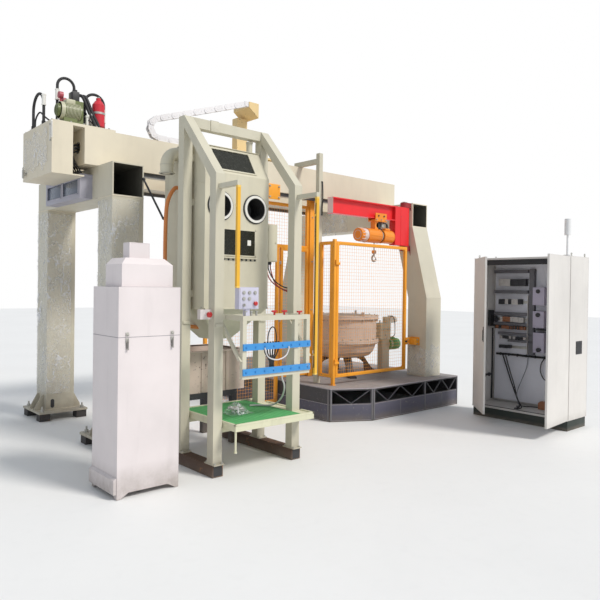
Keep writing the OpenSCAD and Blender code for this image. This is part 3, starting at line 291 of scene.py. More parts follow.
# %% Paints
CREAM = (0.7, 0.635, 0.5)
GREY_GREEN = (0.585, 0.555, 0.44)
ORANGE = (0.88, 0.36, 0.025)
paints = {
    "cream": paint("cream", CREAM, rough=0.45, grime=0.17, foot=0.4),
    "column": paint("column_cream", (0.6, 0.565, 0.455), rough=0.45, grime=0.3, foot=0.5),
    "terminal": paint("terminal_lilac", (0.375, 0.37, 0.43), rough=0.42, grime=0.3),
    "cream_rail": paint("rail_steel", (0.12, 0.12, 0.12), rough=0.35, metal=0.7, grime=0.4),
    "grey_green": paint("grey_green", GREY_GREEN, rough=0.42, grime=0.3, foot=0.35),
    "shell": paint("chamber_paint", (0.6, 0.565, 0.44), rough=0.38, grime=0.38, patch=2.2),
    "block": paint("block_iron", (0.055, 0.05, 0.048), rough=0.7, grime=0.5, chips=0.6,
                   under=(0.22, 0.11, 0.05), relief=0.4),
    "rust": paint("skid_paint", (0.075, 0.036, 0.022), rough=0.66, grime=0.6, chips=0.9,
                  under=(0.26, 0.12, 0.055), relief=0.5, foot=0.12),
    "olive": paint("motor_olive", (0.16, 0.19, 0.07), rough=0.36, grime=0.4, chips=0.2, coat=0.2),
    "accumulator": paint("accumulator_red", (0.6, 0.015, 0.03), rough=0.3, grime=0.3, coat=0.4),
    "rubber": paint("hose_rubber", (0.028, 0.028, 0.03), rough=0.62, grime=0.5, grain=420.0, relief=0.3),
    "box": paint("box_beige", (0.56, 0.525, 0.4), rough=0.4, grime=0.3),
    "tower": paint("tower_ochre", (0.8, 0.6, 0.3), rough=0.48, grime=0.3, chips=0.15),
    "chain": paint("chain_white", (0.8, 0.78, 0.79), rough=0.46, grime=0.25, grain=380.0),
    "yellow": paint("curtain_yellow", (0.8, 0.44, 0.03), rough=0.33, grime=0.2, coat=0.2),
    "blue": paint("tool_blue", (0.045, 0.265, 0.62), rough=0.35, grime=0.35, chips=0.5,
                  under=(0.35, 0.35, 0.36)),
    "panel": paint("panel_lilac", (0.56, 0.55, 0.66), rough=0.36, grime=0.2),
    "stop": paint("stop_pink", (0.78, 0.72, 0.7), rough=0.36, grime=0.2, coat=0.2),
    "table": paint("table_paint", (0.66, 0.65, 0.47), rough=0.5, grime=0.55, chips=0.5,
                   under=(0.28, 0.25, 0.2)),
    "pink": paint("furnace_paint", (0.6, 0.485, 0.415), rough=0.58, grime=0.7, chips=0.5,
                  relief=0.35, under=(0.2, 0.15, 0.13), patch=3.0),
    "white": paint("collector_white", (0.735, 0.675, 0.675), rough=0.4, grime=0.25, foot=0.25),
    "deck": paint("deck_plate", (0.3, 0.275, 0.27), rough=0.58, grime=0.7, chips=0.7,
                  under=(0.42, 0.4, 0.38), relief=0.3, patch=2.4),
    "charcoal": paint("charcoal", (0.048, 0.047, 0.053), rough=0.5, grime=0.4, chips=0.35,
                      under=(0.2, 0.18, 0.17), foot=0.22),
    "fence": paint("fence_orange", ORANGE, rough=0.4, grime=0.3, chips=0.25, foot=0.3,
                   under=(0.25, 0.17, 0.1)),
    "drive": paint("drive_beige", (0.6, 0.56, 0.45), rough=0.42, grime=0.5, chips=0.2),
    "jib": paint("jib_red", (0.8, 0.018, 0.022), rough=0.34, grime=0.25, chips=0.12, coat=0.25),
    "dark_red": paint("bracket_red", (0.3, 0.02, 0.025), rough=0.45, grime=0.4, chips=0.2),
    "hoist": paint("hoist_orange", (0.88, 0.27, 0.012), rough=0.33, grime=0.3, chips=0.15, coat=0.3),
    "steel": paint("bare_steel", (0.42, 0.41, 0.4), rough=0.34, metal=0.85, grime=0.35),
    "zinc": paint("zinc_bolts", (0.52, 0.51, 0.47), rough=0.38, metal=0.75, grime=0.3, patch=8.0),
    "dark": paint("dark_steel", (0.035, 0.035, 0.038), rough=0.45, grime=0.3, grain=300.0),
    "cabinet": paint("cabinet_white", (0.685, 0.66, 0.63), rough=0.5, grime=0.18, foot=0.2,
                     grain=520.0, relief=0.2),
    "plate": paint("plate_lilac", (0.76, 0.76, 0.82), rough=0.5, grime=0.25),
    "lamp": paint("lamp_white", (0.78, 0.78, 0.78), rough=0.25, grime=0.1, coat=0.4),
    "ring": paint("ring_white", (0.78, 0.77, 0.72), rough=0.4, grime=0.3),
    "mat": paint("mat_green", (0.1, 0.4, 0.14), rough=0.7, grime=0.5, grain=180.0, relief=0.6,
                 patch=4.0),
    "window": clear("window_glass", (0.022, 0.022, 0.014), seen=0.86, ripple=2.0, relief=0.03),
}
floor.data.materials.append(paint("hall_floor", (0.8, 0.8, 0.795), rough=0.6, drift=0.02, grime=0.06,
    relief=0.05, patch=0.5))
print(len(paints), "paints mixed")

# %% [markdown]
# ## Paint on the construction
# Each node of the construction takes the paint of the real piece.

# %% Paint the nodes
NODE_PAINT = {
    "cream": ["right_cross_tube", "gantry_beams", "oil_tank"],
    "column": ["left_columns", "left_cross_tube", "right_legs"],
    "terminal": ["terminal_box"],
    "cream_rail": ["beam_rails"],
    "block": ["column_blocks"],
    "olive": ["pump_unit"],
    "accumulator": ["accumulator"],
    "rubber": ["tank_hoses"],
    "box": ["chamber_control_box"],
    "tower": ["carriage_tower"],
    "chain": ["cable_chain"],
    "grey_green": ["station_side_frames", "station_top_bar", "curtain_arms", "tool_rack", "arm_post"],
    "shell": ["chamber_shell", "chamber_hopper", "exhaust_elbows"],
    "rust": ["station_skids"],
    "window": ["chamber_windows"],
    "ring": ["glove_rings"],
    "yellow": ["light_curtains"],
    "blue": ["tool_bars"],
    "panel": ["operator_panel"],
    "stop": ["stop_box"],
    "table": ["work_table"],
    "pink": ["quench_tank", "furnace_vessel"],
    "charcoal": ["quench_stand", "platform_frame", "furnace_pedestal"],
    "white": ["dust_collector", "collector_fan_box"],
    "deck": ["platform_deck"],
    "fence": ["gate_posts", "gate", "mesh_screen"],
    "drive": ["furnace_drive"],
    "jib": ["jib_arm"],
    "dark_red": ["jib_hinges"],
    "hoist": ["hoist"],
    "steel": ["hoist_chain", "hoist_hook"],
    "cabinet": ["cabinet_shell", "cabinet_near_door", "cabinet_far_door"],
    "plate": ["cabinet_plate"],
    "lamp": ["signal_lamp"],
}
painted = 0
for key, names in NODE_PAINT.items():
    for name in names:
        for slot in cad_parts[name].material_slots:
            slot.material = paints[key]
        painted += 1
print(painted, "of", len(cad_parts), "nodes painted")

# %% [markdown]
# ## A small workshop
# A batch gathers many simple solids of one paint and one body in a single mesh. Boxes get a small
# bevel, so their edges catch the light. Tubes follow a smooth line, and lathe work spins a profile.

# %% Workshop
def aim(direction):
    return Vector(direction).normalized().to_track_quat("Z", "Y").to_matrix().to_4x4()


def smooth_line(points, steps=8):
    """A rounded line through all the points."""
    nodes = [Vector(p) for p in points]
    nodes = [2 * nodes[0] - nodes[1]] + nodes + [2 * nodes[-1] - nodes[-2]]
    line = []
    for a, b, c, d in zip(nodes, nodes[1:], nodes[2:], nodes[3:]):
        for step in range(steps):
            t = step / steps
            line.append(0.5 * (2 * b + (c - a) * t + (2 * a - 5 * b + 4 * c - d) * t * t
                + (3 * b - a - 3 * c + d) * t ** 3))
    line.append(nodes[-2].copy())
    return line


class Batch:
    def __init__(self):
        self.mesh = bmesh.new()

    def turned_box(self, centre, size, turn, edge=0.0, segments=2):
        """A box of this size about the centre, turned by a 3 x 3 matrix."""
        made = bmesh.ops.create_cube(self.mesh, size=1.0)["verts"]
        bmesh.ops.transform(self.mesh, verts=made,
            matrix=Matrix.Translation(Vector(centre)) @ turn.to_4x4() @ Matrix.Diagonal((*size, 1.0)))
        if edge > 0.0:
            edges = list({e for v in made for e in v.link_edges})
            bmesh.ops.bevel(self.mesh, geom=edges, offset=min(edge, min(size) * 0.45), segments=segments,
                profile=0.5, affect="EDGES", material=-1)
        return self

    def box(self, low, high, edge=0.0, segments=2):
        """An upright box between two corners."""
        low, high = Vector(low), Vector(high)
        return self.turned_box((high + low) / 2, high - low, Matrix.Identity(3), edge, segments)

    def rod(self, start, end, radius, segments=20):
        start, end = Vector(start), Vector(end)
        reach = end - start
        bmesh.ops.create_cone(self.mesh, cap_ends=True, segments=segments, radius1=radius, radius2=radius,
            depth=reach.length, matrix=Matrix.Translation((start + end) / 2) @ aim(reach))
        return self

    def bolt(self, seat, normal, across=0.016, height=0.01, washer=True):
        seat, normal = Vector(seat), Vector(normal).normalized()
        low = seat
        if washer:
            low = seat + normal * 0.0025
            self.rod(seat - normal * 0.001, low, across * 0.72, 16)
        self.rod(low - normal * 0.0005, low + normal * height, across / math.sqrt(3), 6)
        self.rod(low + normal * (height - 0.0005), low + normal * (height + 0.0015), across * 0.36, 12)
        return self

    def tube(self, points, radius, segments=10, steps=8, smooth=True):
        line = smooth_line(points, steps) if smooth else [Vector(p) for p in points]
        rings = []
        normal = (line[1] - line[0]).normalized().orthogonal().normalized()
        for before, point, after in zip(line[:1] + line, line, line[1:] + line[-1:]):
            heading = (after - before).normalized()
            normal = (normal - heading * normal.dot(heading)).normalized()
            across = heading.cross(normal)
            rings.append([self.mesh.verts.new(point + radius * (math.cos(a) * normal + math.sin(a) * across))
                for a in (2 * math.pi * i / segments for i in range(segments))])
        for one, two in zip(rings, rings[1:]):
            for i in range(segments):
                k = (i + 1) % segments
                self.mesh.faces.new((one[i], one[k], two[k], two[i]))
        self.mesh.faces.new(list(reversed(rings[0])))
        self.mesh.faces.new(rings[-1])
        return self

    def lathe(self, centre, axis, profile, steps=40):
        """Spins a closed profile of (radius, height) pairs about an axis through the centre."""
        place = Matrix.Translation(Vector(centre)) @ aim(axis)
        made = [self.mesh.verts.new((r, 0.0, h)) for r, h in profile]
        edges = [self.mesh.edges.new((a, b)) for a, b in zip(made, made[1:])]
        bmesh.ops.spin(self.mesh, geom=made + edges, cent=(0, 0, 0), axis=(0, 0, 1), dvec=(0, 0, 0),
            angle=2 * math.pi, steps=steps, use_merge=True, use_duplicate=False)
        grow = [v for v in made if v.is_valid]
        found = set(grow)
        while grow:
            v = grow.pop()
            fresh = {e.other_vert(v) for e in v.link_edges} - found
            found |= fresh
            grow.extend(fresh)
        found = list(found)
        bmesh.ops.remove_doubles(self.mesh, verts=found, dist=1e-6)
        for v in [v for v in found if v.is_valid]:
            v.co = place @ v.co
        return self

    def plate(self, corners, thickness, direction):
        """A flat plate: a polygon pushed out along a direction."""
        push = Vector(direction).normalized() * thickness
        low = [self.mesh.verts.new(Vector(c)) for c in corners]
        high = [self.mesh.verts.new(Vector(c) + push) for c in corners]
        self.mesh.faces.new(list(reversed(low)))
        self.mesh.faces.new(high)
        for i in range(len(corners)):
            k = (i + 1) % len(corners)
            self.mesh.faces.new((low[i], low[k], high[k], high[i]))
        return self

    def make(self, name, material, body="frame", slot=None, soft=35.0):
        """Ends the batch: one object, riding on its body. Edges up to the angle soft are shaded smooth."""
        bmesh.ops.recalc_face_normals(self.mesh, faces=self.mesh.faces)
        data = bpy.data.meshes.new(name)
        self.mesh.to_mesh(data)
        count = sum(len(p.vertices) - 2 for p in data.polygons)
        self.mesh.free()
        data.materials.append(material)
        made = place_object(name, data)
        data.set_sharp_from_angle(angle=math.radians(soft))
        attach(made, body)
        print(name, count, "triangles")
        return made


def cable(name, points, radius, material=paints["rubber"], slot="hose", body="frame",
        segments=12):
    """A free lead or hose, held only at its two ends."""
    line = smooth_line(points, 10)
    made = Batch().tube(line, radius, segments, smooth=False).make(name, material, body, slot)
    return made


def rectangle(x0, x1, y0, y1):
    """A closed rectangle: the path of a weld, or the profile of a flat ring for the lathe."""
    return [(x0, y0), (x1, y0), (x1, y1), (x0, y1), (x0, y0)]


def turns(count, axis, start=0.0):
    """Rotation matrices spread evenly about an axis. Start is a share of one step."""
    return [Matrix.Rotation(2 * math.pi * (k + start) / count, 3, axis) for k in range(count)]


print("workshop ready")

# %% [markdown]
# ## Gantry details
# Anchor bolts hold the base plates. Weld beads run round both ends of the columns and where the beams
# sit on the cross tubes: a bead is a thin tube that follows the seam. Dark sheets of painted shade stand
# for the shaded inside of the hand holes in the column feet and of the open ends of the cross tubes.

# %% Gantry bolts and welds
bolts = Batch()
welds = Batch()
for foot_y in (0.0505, 1.7865):
    for dx in (-0.235, 0.235):
        for dy in (-0.235, 0.235):
            seat = (-1.945 + dx, foot_y + dy, 0.108)
            bolts.bolt(seat, (0, 0, 1), across=0.036, height=0.024)
            bolts.rod((seat[0], seat[1], 0.13), (seat[0], seat[1], 0.168), 0.01, 12)
    low, high = foot_y - 0.1575, foot_y + 0.1575
    for z, radius in ((0.11, 0.007), (2.4705, 0.005)):
        welds.tube([(x, y, z) for x, y in rectangle(-2.11, -1.78, low, high)], radius, 6, smooth=False)
for x in (2.19, 2.52):
    welds.tube([(x, -0.377, 2.4705), (x, -0.062, 2.4705)], 0.006, 6, smooth=False)
for x in (-2.11, -1.78, 2.19, 2.5195):
    for y in (0.23, 0.58, 1.257, 1.607):
        welds.tube([(x, y, 2.803), (x + (0.05 if x < 2.4 else -0.05), y, 2.803)], 0.005, 6, smooth=False)
# Dark sheets with round ends on the column feet: painted shade for the inside of the hand holes.
slots = Batch()
for y in (-0.107, 1.629):
    slots.box((-2.058, y - 0.0014, 0.15), (-2.014, y + 0.001, 0.21))
    for z in (0.15, 0.21):
        slots.rod((-2.036, y + 0.001, z), (-2.036, y - 0.0012, z), 0.022, 24)
slots.make("foot_slot_shade", paints["dark"], slot="dark_steel")
# Thin dark sheets inside the open front ends of the cross tubes: painted shade for the dark inside of the
# tubes.
bores = Batch()
WALL, SKIN = 0.0122, 0.001
for x0, y0 in ((-2.11, -0.107), (2.19, -0.377)):
    x0, x1, low, high = x0 + WALL, x0 + 0.33 - WALL, 2.4835, 2.7895
    for xa, xb, za, zb in ((x0, x0 + SKIN, low, high), (x1 - SKIN, x1, low, high), (x0, x1, low - 0.0002, low
            + 0.0008), (x0, x1, high - 0.0008, high + 0.0002)):
        bores.box((xa, y0 + 0.006, za), (xb, y0 + 1.3, zb))
bores.make("tube_bore_shade", paint("bore_shade_paint", (0.1, 0.095, 0.075), rough=0.7, grime=0.6), slot="dark_steel")
bolts.make("base_bolts", paints["zinc"], slot="dark_steel")
welds.make("weld_beads", paints["cream"], slot="cream")

# %% [markdown]
# ## Hydraulic unit
# The tank carries a lid with bolts, a level gauge on its front corner and a drain cock. On the lid
# sit an electric motor with a finned cooling jacket, a valve stack with solenoids, white hose fittings
# and a pair of thick hoses that loop down from the stack to the lid. Fins are thin discs in a row.

# %% Hydraulic unit
OX = -2.572
LID = 3.187
mx, my, mz = OX + 0.085, 0.32, LID + 0.122
jacket = Batch()
for k in range(11):
    x = mx + 0.062 + k * 0.0135
    jacket.rod((x, my, mz), (x + 0.005, my, mz), 0.086, 40)
jacket.rod((mx + 0.014, my, mz), (mx + 0.052, my, mz), 0.084, 48)
jacket.box((mx + 0.07, my - 0.045, mz + 0.07), (mx + 0.16, my + 0.045, mz + 0.115), edge=0.006)
jacket.make("motor_jacket", paint("motor_cream", (0.5, 0.49, 0.35), rough=0.4, grime=0.5, chips=0.2),
    slot="motor_green")
cowl = Batch()
cowl.rod((mx - 0.012, my, mz), (mx + 0.002, my, mz), 0.058, 48)
for r in (0.014, 0.029, 0.044):
    cowl.lathe((mx - 0.013, my, mz), (-1, 0, 0), [(r, 0.0), (r, 0.003), (r + 0.006, 0.003), (r + 0.006, 0.0)],
        40)
cowl.make("motor_cowl", paints["olive"], slot="motor_green")

valves = Batch()
vx, vy = OX + 0.285, 0.4
valves.box((vx - 0.052, vy - 0.05, LID + 0.002), (vx + 0.052, vy + 0.052, LID + 0.238), edge=0.004)
for k in range(4):
    z = LID + 0.045 + 0.052 * k
    valves.rod((vx - 0.05, vy - 0.052, z), (vx - 0.05, vy - 0.105, z), 0.019, 24)
    valves.rod((vx + 0.052, vy, z), (vx + 0.118 - 0.02 * (k % 2), vy, z), 0.021, 24)
    valves.box((vx + 0.06, vy - 0.024, z - 0.022), (vx + 0.098, vy + 0.024, z + 0.022), edge=0.004)
valves.box((vx - 0.036, vy - 0.036, LID + 0.236), (vx + 0.036, vy + 0.036, LID + 0.352), edge=0.006)
valves.rod((vx, vy, LID + 0.35), (vx, vy, LID + 0.372), 0.024, 24)
valves.make("valve_stack", paints["dark"], slot="dark_steel")

fittings = Batch()
for x, y, z, h in ((OX + 0.025, 0.53, 3.395, 0.085), (OX + 0.15, 0.51, 3.47, 0.085),
        (OX + 0.631, 0.49, 3.32, 0.115)):
    fittings.rod((x, y, z), (x, y, z + h), 0.0195, 24)
    fittings.rod((x, y, z + h), (x, y, z + h + 0.012), 0.023, 6)
    fittings.rod((x, y, z - 0.012), (x, y, z), 0.023, 6)
for x, y, z in ((vx + 0.13, vy - 0.03, 3.235), (vx + 0.165, vy - 0.06, 3.225), (vx + 0.1, vy - 0.07, 3.3),
        (vx + 0.15, vy - 0.01, 3.32), (vx + 0.205, vy - 0.05, 3.222)):
    fittings.rod((x, y, LID + 0.001), (x, y, z), 0.016, 20)
    fittings.rod((x, y, z), (x + 0.045, y - 0.012, z + 0.018), 0.017, 20)
    fittings.rod((x, y, z - 0.012), (x, y, z + 0.006), 0.022, 6)
fittings.make("hose_fittings", paints["ring"], slot="ring_white")

gauges = Batch()
gauges.rod((vx - 0.135, vy + 0.02, LID), (vx - 0.135, vy + 0.02, LID + 0.29), 0.01, 16)
gauges.rod((vx - 0.155, vy + 0.02, LID + 0.3), (vx - 0.115, vy + 0.02, LID + 0.3), 0.034, 32)
gauges.rod((vx - 0.09, vy + 0.05, LID), (vx - 0.09, vy + 0.05, LID + 0.245), 0.01, 16)
gauges.rod((vx - 0.105, vy + 0.05, LID + 0.262), (vx - 0.072, vy + 0.05, LID + 0.262), 0.026, 32)
gauges.make("pressure_gauges", paint("gauge_red", (0.42, 0.07, 0.09), rough=0.3, grime=0.3), slot="red")

for k, shift in enumerate((0.0, 0.034)):
    cable("valve_hose_%d" % k, [(vx + 0.035 + shift, vy + 0.01, LID + 0.33), (vx + 0.075 + shift, vy - 0.02,
        LID + 0.31), (vx + 0.12 + shift, vy - 0.075, LID + 0.15), (vx + 0.155 + shift, vy - 0.12, LID
        + 0.045), (vx + 0.165 + shift, vy - 0.135, LID + 0.004)], 0.0155, segments=14)
cable("tank_lead", [(OX + 0.02, 0.76, LID + 0.002), (OX + 0.022, 0.745, LID + 0.1),
    (OX + 0.025, 0.64, LID + 0.145), (OX + 0.04, 0.54, LID + 0.085), (OX + 0.07, 0.44, LID + 0.02)], 0.008)
cable("valve_lead", [(OX + 0.34, 0.36, LID + 0.002), (OX + 0.37, 0.33, LID + 0.07),
    (OX + 0.42, 0.31, LID + 0.06), (OX + 0.46, 0.3, LID + 0.002)], 0.007)

trim = Batch()
for x, y in [(0.06 + 0.13 * k, y) for k in range(5) for y in (0.246, 1.04)] + [(0.018, 0.28 + 0.15 * k)
        for k in range(6)]:
    trim.bolt((OX + x, y, LID), (0, 0, 1), across=0.016)
trim.rod((OX - 0.001, 0.96, 2.745), (OX - 0.035, 0.96, 2.745), 0.017, 20)
trim.rod((OX - 0.03, 0.96, 2.7), (OX - 0.03, 0.96, 2.785), 0.012, 16)
trim.tube([(OX - 0.03, 0.96, 2.785), (OX - 0.04, 0.945, 2.8), (OX - 0.045, 0.905, 2.802)], 0.005, 8)
trim.lathe((OX + 0.52, 0.37, LID + 0.16), (0, 0, 1), [(0.06, 0.0), (0.066, 0.0), (0.066, 0.022),
    (0.06, 0.022)], 48)
trim.rod((OX + 0.52, 0.37, LID + 0.328), (OX + 0.52, 0.37, LID + 0.345), 0.013, 6)
trim.make("tank_fittings", paints["zinc"], slot="chain_steel")
gauge = Batch()
gauge.box((OX - 0.012, 0.226, LID - 0.18), (OX + 0.006, 0.232, LID - 0.012), edge=0.002)
gauge.make("level_gauge_back", paints["ring"], slot="ring_white")
gauge = Batch()
gauge.rod((OX - 0.003, 0.2235, LID - 0.168), (OX - 0.003, 0.2235, LID - 0.024), 0.0045, 12)
gauge.make("level_gauge_glass", paint("gauge_glass", (0.62, 0.6, 0.58), rough=0.15, coat=0.6),
    slot="ring_white")

# %% [markdown]
# ## Terminal box
# Two dark panes sit in the face of the box, and a row of seven glands stands on its top. Five black
# cables climb from them, close beside the tank, to the hand hole of the front beam. The last two glands
# are capped. A level glass stands at the corner of the tank.

# %% Terminal box
panes = Batch()
for k in (0, 1):
    y0 = 0.4135 + k * 0.455
    panes.box((-2.2355, y0, 2.526), (-2.2315, y0 + 0.405, 2.671), edge=0.0008)
panes.make("terminal_panes", paint("pane_blue", (0.085, 0.105, 0.15), rough=0.14, grime=0.5, coat=0.5,
    relief=0.03), slot="window")
frames = Batch()
for k in (0, 1):
    y0 = 0.4135 + k * 0.455
    for a, b, c, d in ((y0 - 0.006, 2.52, y0 + 0.411, 2.53), (y0 - 0.006, 2.667, y0 + 0.411, 2.677),
            (y0 - 0.006, 2.52, y0 + 0.004, 2.677), (y0 + 0.401, 2.52, y0 + 0.411, 2.677)):
        frames.box((-2.2445, a, b), (-2.2395, c, d), edge=0.0015)
frames.box((-2.2425, 0.356, 2.7165), (-2.1095, 1.33, 2.7235), edge=0.002)
frames.make("terminal_frames", paints["terminal"], slot="box_grey")
glands = Batch()
# Where the five cables end in the hand hole: steps along and up from its middle.
END_SPREAD = ((-0.038, 0.0), (-0.018, 0.031), (0.0, -0.038), (0.018, 0.031), (0.038, 0.0))
for k in range(7):
    y = 0.4 + 0.052 * k
    x = -2.226 + 0.02 * (k % 2)
    if k < 5:
        dy, dz = 0.405 + END_SPREAD[k][0] - y, END_SPREAD[k][1]
        climb = [(px, y + share * dy, pz + share * dz) for px, pz, share in ((-2.243, 2.785, 0.03),
            (-2.268, 2.812, 0.15), (-2.3, 2.86, 0.45), (-2.318, 2.915, 0.75), (-2.303, 2.962, 0.95),
            (-2.272, 2.98, 1.0), (-2.244, 2.984, 1.0))]
        cable("terminal_cable_%d" % k, [(-2.226, y, 2.7235), (-2.2285, y, 2.757)] + climb, 0.0085,
            segments=10)
        x = -2.226
    glands.rod((x, y, 2.722), (x, y, 2.744), 0.019, 6)
    glands.rod((x, y, 2.744), (x, y, 2.758 if k < 5 else 2.75), 0.015, 16)
glands.make("cable_glands", paints["dark"], slot="dark_steel")
gauge = Batch()
gauge.rod((-2.58, 0.256, 2.985), (-2.58, 0.256, 3.137), 0.005, 20)
gauge.make("level_glass", paints["lamp"], slot="lamp")
fittings = Batch()
for z in (2.985, 3.137):
    fittings.box((-2.586, 0.249, z - 0.009), (-2.5715, 0.263, z + 0.009), edge=0.002)
fittings.make("level_fittings", paints["zinc"], slot="chain_steel")

# %% [markdown]
# ## Inside the cable chain
# Black and grey cables lie in the open channel between the cheeks. They follow the same loop as the
# links: along the beam, round the bend and up to the bracket.

# %% Chain cables
LOOP_X, LOOP_Z, LOOP_R = -1.408, 3.307, 0.107
TOWER_END = (-0.25, 3.813)
chain_cables = Batch()
reach_x, reach_z = TOWER_END[0] - LOOP_X, TOWER_END[1] - LOOP_Z
rise = math.atan2(reach_z, reach_x) - math.asin(LOOP_R / math.hypot(reach_x, reach_z))
path = [(-0.64, LOOP_Z - LOOP_R)]
path += [(-0.64 - 0.128 * k, LOOP_Z - LOOP_R) for k in range(1, 6)]
steps = 12
for k in range(steps + 1):
    angle = -math.pi / 2 - (math.pi - rise) * k / steps
    path.append((LOOP_X + LOOP_R * math.cos(angle), LOOP_Z + LOOP_R * math.sin(angle)))
last = path[-1]
path += [(last[0] + (TOWER_END[0] - last[0]) * k / 10, last[1] + (TOWER_END[1] - last[1]) * k / 10)
    for k in range(1, 11)]
for y, lift, thick in ((0.271, -0.01, 0.0062), (0.277, 0.006, 0.005), (0.284, -0.008, 0.0055),
        (0.288, 0.009, 0.0048)):
    chain_cables.tube([(x, y, z + lift * 0.5) for x, z in path], thick, 8, steps=3)
chain_cables.make("chain_cables", paints["rubber"], slot="hose")

# %% [markdown]
# ## Chamber trim
# The chamber is folded from sheet. Its roof has a bright front edge, the sloping window and the square
# window have thin frames, and a ledge with a row of dark bolts runs under the square window.

# %% Chamber trim
CX, FRONT = -1.36, -1.14
slope_up = Vector((0.0, 0.17, 0.27)).normalized()
slope_out = Vector((0.0, -slope_up.z, slope_up.y))
slope_turn = Matrix((Vector((1, 0, 0)), slope_up, -slope_out)).transposed()
slope_mid = Vector((CX, -1.055, 2.765))
trim = Batch()
for along, wide, tall in ((0.126, 0.446, 0.016), (-0.126, 0.446, 0.016)):
    trim.turned_box(slope_mid + slope_up * along + slope_out * 0.004, (wide, tall, 0.01), slope_turn, 0.002)
for side in (-1, 1):
    trim.turned_box(slope_mid + Vector((side * 0.216, 0, 0)) + slope_out * 0.004, (0.016, 0.24, 0.01),
        slope_turn, 0.002)
trim.box((-1.721, -0.984, 2.8965), (-0.999, -0.964, 2.9035), edge=0.003)
for x0, z0, x1, z1 in ((-1.57, 2.12, -1.15, 2.132), (-1.57, 1.878, -1.15, 1.89),
        (-1.57, 1.878, -1.556, 2.132), (-1.164, 1.878, -1.15, 2.132)):
    trim.box((x0, FRONT - 0.006, z0), (x1, FRONT + 0.002, z1), edge=0.0015)
trim.box((-1.58, FRONT - 0.022, 1.858), (-1.14, FRONT + 0.001, 1.868), edge=0.002)
for z, y in ((2.528, -1.12), (2.762, -0.96)):
    for x in (-1.721, -0.999):
        trim.box((x - 0.0025, y, z - 0.004), (x + 0.0025, -0.44, z + 0.004), edge=0.001)
for low, high in (((-1.722, -1.142), (-0.998, -1.128)), ((-1.722, -0.442), (-0.998, -0.428)),
        ((-1.722, -1.142), (-1.708, -0.428)), ((-1.012, -1.142), (-0.998, -0.428))):
    trim.box((*low, 1.39), (*high, 1.404), edge=0.002)
trim.make("chamber_trim", paints["shell"], slot="grey_green")

# %% [markdown]
# ## Glove ports
# Each white ring has a thin black gasket line outside and a wider one inside. Behind it a black rubber
# glove hangs into the chamber: its sleeve is a spun profile with shallow folds.

# %% Glove ports
gaskets, gloves, screws = Batch(), Batch(), Batch()
for x in (-1.556, -1.164):
    at = (x, FRONT, 2.33)
    gaskets.lathe(at, (0, -1, 0), rectangle(0.1265, 0.137, -0.0005, 0.0085), 64)
    gaskets.lathe(at, (0, -1, 0), rectangle(0.0985, 0.1035, 0.0005, 0.0205), 64)
    outline = [(0.1, 0.006)]
    outline += [(0.0955 - 0.0005 * k - (0.006 if k % 2 else 0.0), -0.008 - 0.012 * k) for k in range(12)]
    outline += [(0.075, -0.16), (0.045, -0.172), (0.0, -0.176)]
    gloves.lathe(at, (0, -1, 0), outline, 48)
for k in range(9):
    screws.bolt((-1.56 + 0.05 * k, FRONT, 1.848), (0, -1, 0), across=0.013, height=0.006)
gaskets.make("port_gaskets", paints["rubber"], slot="hose")
gloves.make("port_gloves", paint("glove_rubber", (0.012, 0.012, 0.012), rough=0.42, grime=0.3, relief=0.3),
    slot="hose")
screws.make("chamber_screws", paints["dark"], slot="dark_steel")
tag = Batch()
tag.box((-1.247, FRONT - 0.001, 1.985), (-1.207, FRONT - 0.0002, 2.035))
tag.make("window_tag", paints["ring"], slot="ring_white")

# %% [markdown]
# ## Ducts and control box
# Round flanges close the ends of the exhaust elbows, and a short vent pipe stands on the roof. The
# control box gets a raised lid with a lock and hinges. An orange hose hangs from the left elbow.

# %% Ducts and control box
ducts = Batch()
for side, y in ((-1, -0.69), (1, -0.78)):
    x = CX + side * 0.36
    ducts.lathe((x, y, 2.83), (side, 0, 0), rectangle(0.0595, 0.08, 0.001, 0.009), 48)
    bend = x + side * 0.13
    ducts.lathe((bend, y, 2.635), (0, 0, -1), rectangle(0.0405, 0.072, -0.01, 0.0), 48)
    ducts.lathe((bend, y, 2.712), (0, 0, 1), rectangle(0.0595, 0.0635, 0.0, 0.01), 48)
    for k in range(6):
        angle = math.pi * (k + 0.5) / 3
        ducts.bolt((x + side * 0.009, y + 0.07 * math.cos(angle), 2.83 + 0.07 * math.sin(angle)),
            (side, 0, 0), across=0.011, height=0.006, washer=False)
for z0, z1, r in ((2.9, 3.01, 0.03), (2.9, 2.908, 0.048), (3.008, 3.02, 0.034)):
    ducts.rod((-1.06, -0.9, z0), (-1.06, -0.9, z1), r, 32)
ducts.make("duct_flanges", paints["grey_green"], slot="grey_green")

lid = Batch()
lid.box((-0.996, -1.146, 1.851), (-0.89, -1.1395, 2.199), edge=0.003)
lid.rod((-0.906, -1.146, 2.03), (-0.906, -1.152, 2.03), 0.01, 24)
for z in (1.9, 2.15):
    lid.rod((-0.998, -1.145, z - 0.016), (-0.998, -1.145, z + 0.016), 0.005, 16)
lid.make("control_lid", paints["box"], slot="box_grey")
glands = Batch()
for x in (-0.968, -0.94, -0.914):
    glands.rod((x, -1.07, 1.846), (x, -1.07, 1.826), 0.013, 6)
    glands.rod((x, -1.07, 1.828), (x, -1.07, 1.816), 0.01, 16)
glands.make("control_glands", paints["dark"], slot="dark_steel")
wire_red = paint("wire_red", (0.3, 0.05, 0.04), rough=0.42, grime=0.2, relief=0.05)
for k, (x, drop) in enumerate(((-0.968, 0.02), (-0.94, 0.0), (-0.914, 0.035))):
    cable("control_lead_%d" % k, [(x, -1.07, 1.818), (x + 0.004, -1.074, 1.77),
        (x + 0.016, -1.11, 1.7 - drop), (-0.95 + 0.018 * k, -1.2, 1.64 - drop), (-0.95 + 0.018 * k, -1.31, 1.6
        - drop), (-0.945 + 0.016 * k, -1.4, 1.59 - drop)], 0.006, wire_red if k != 1 else paints["rubber"])
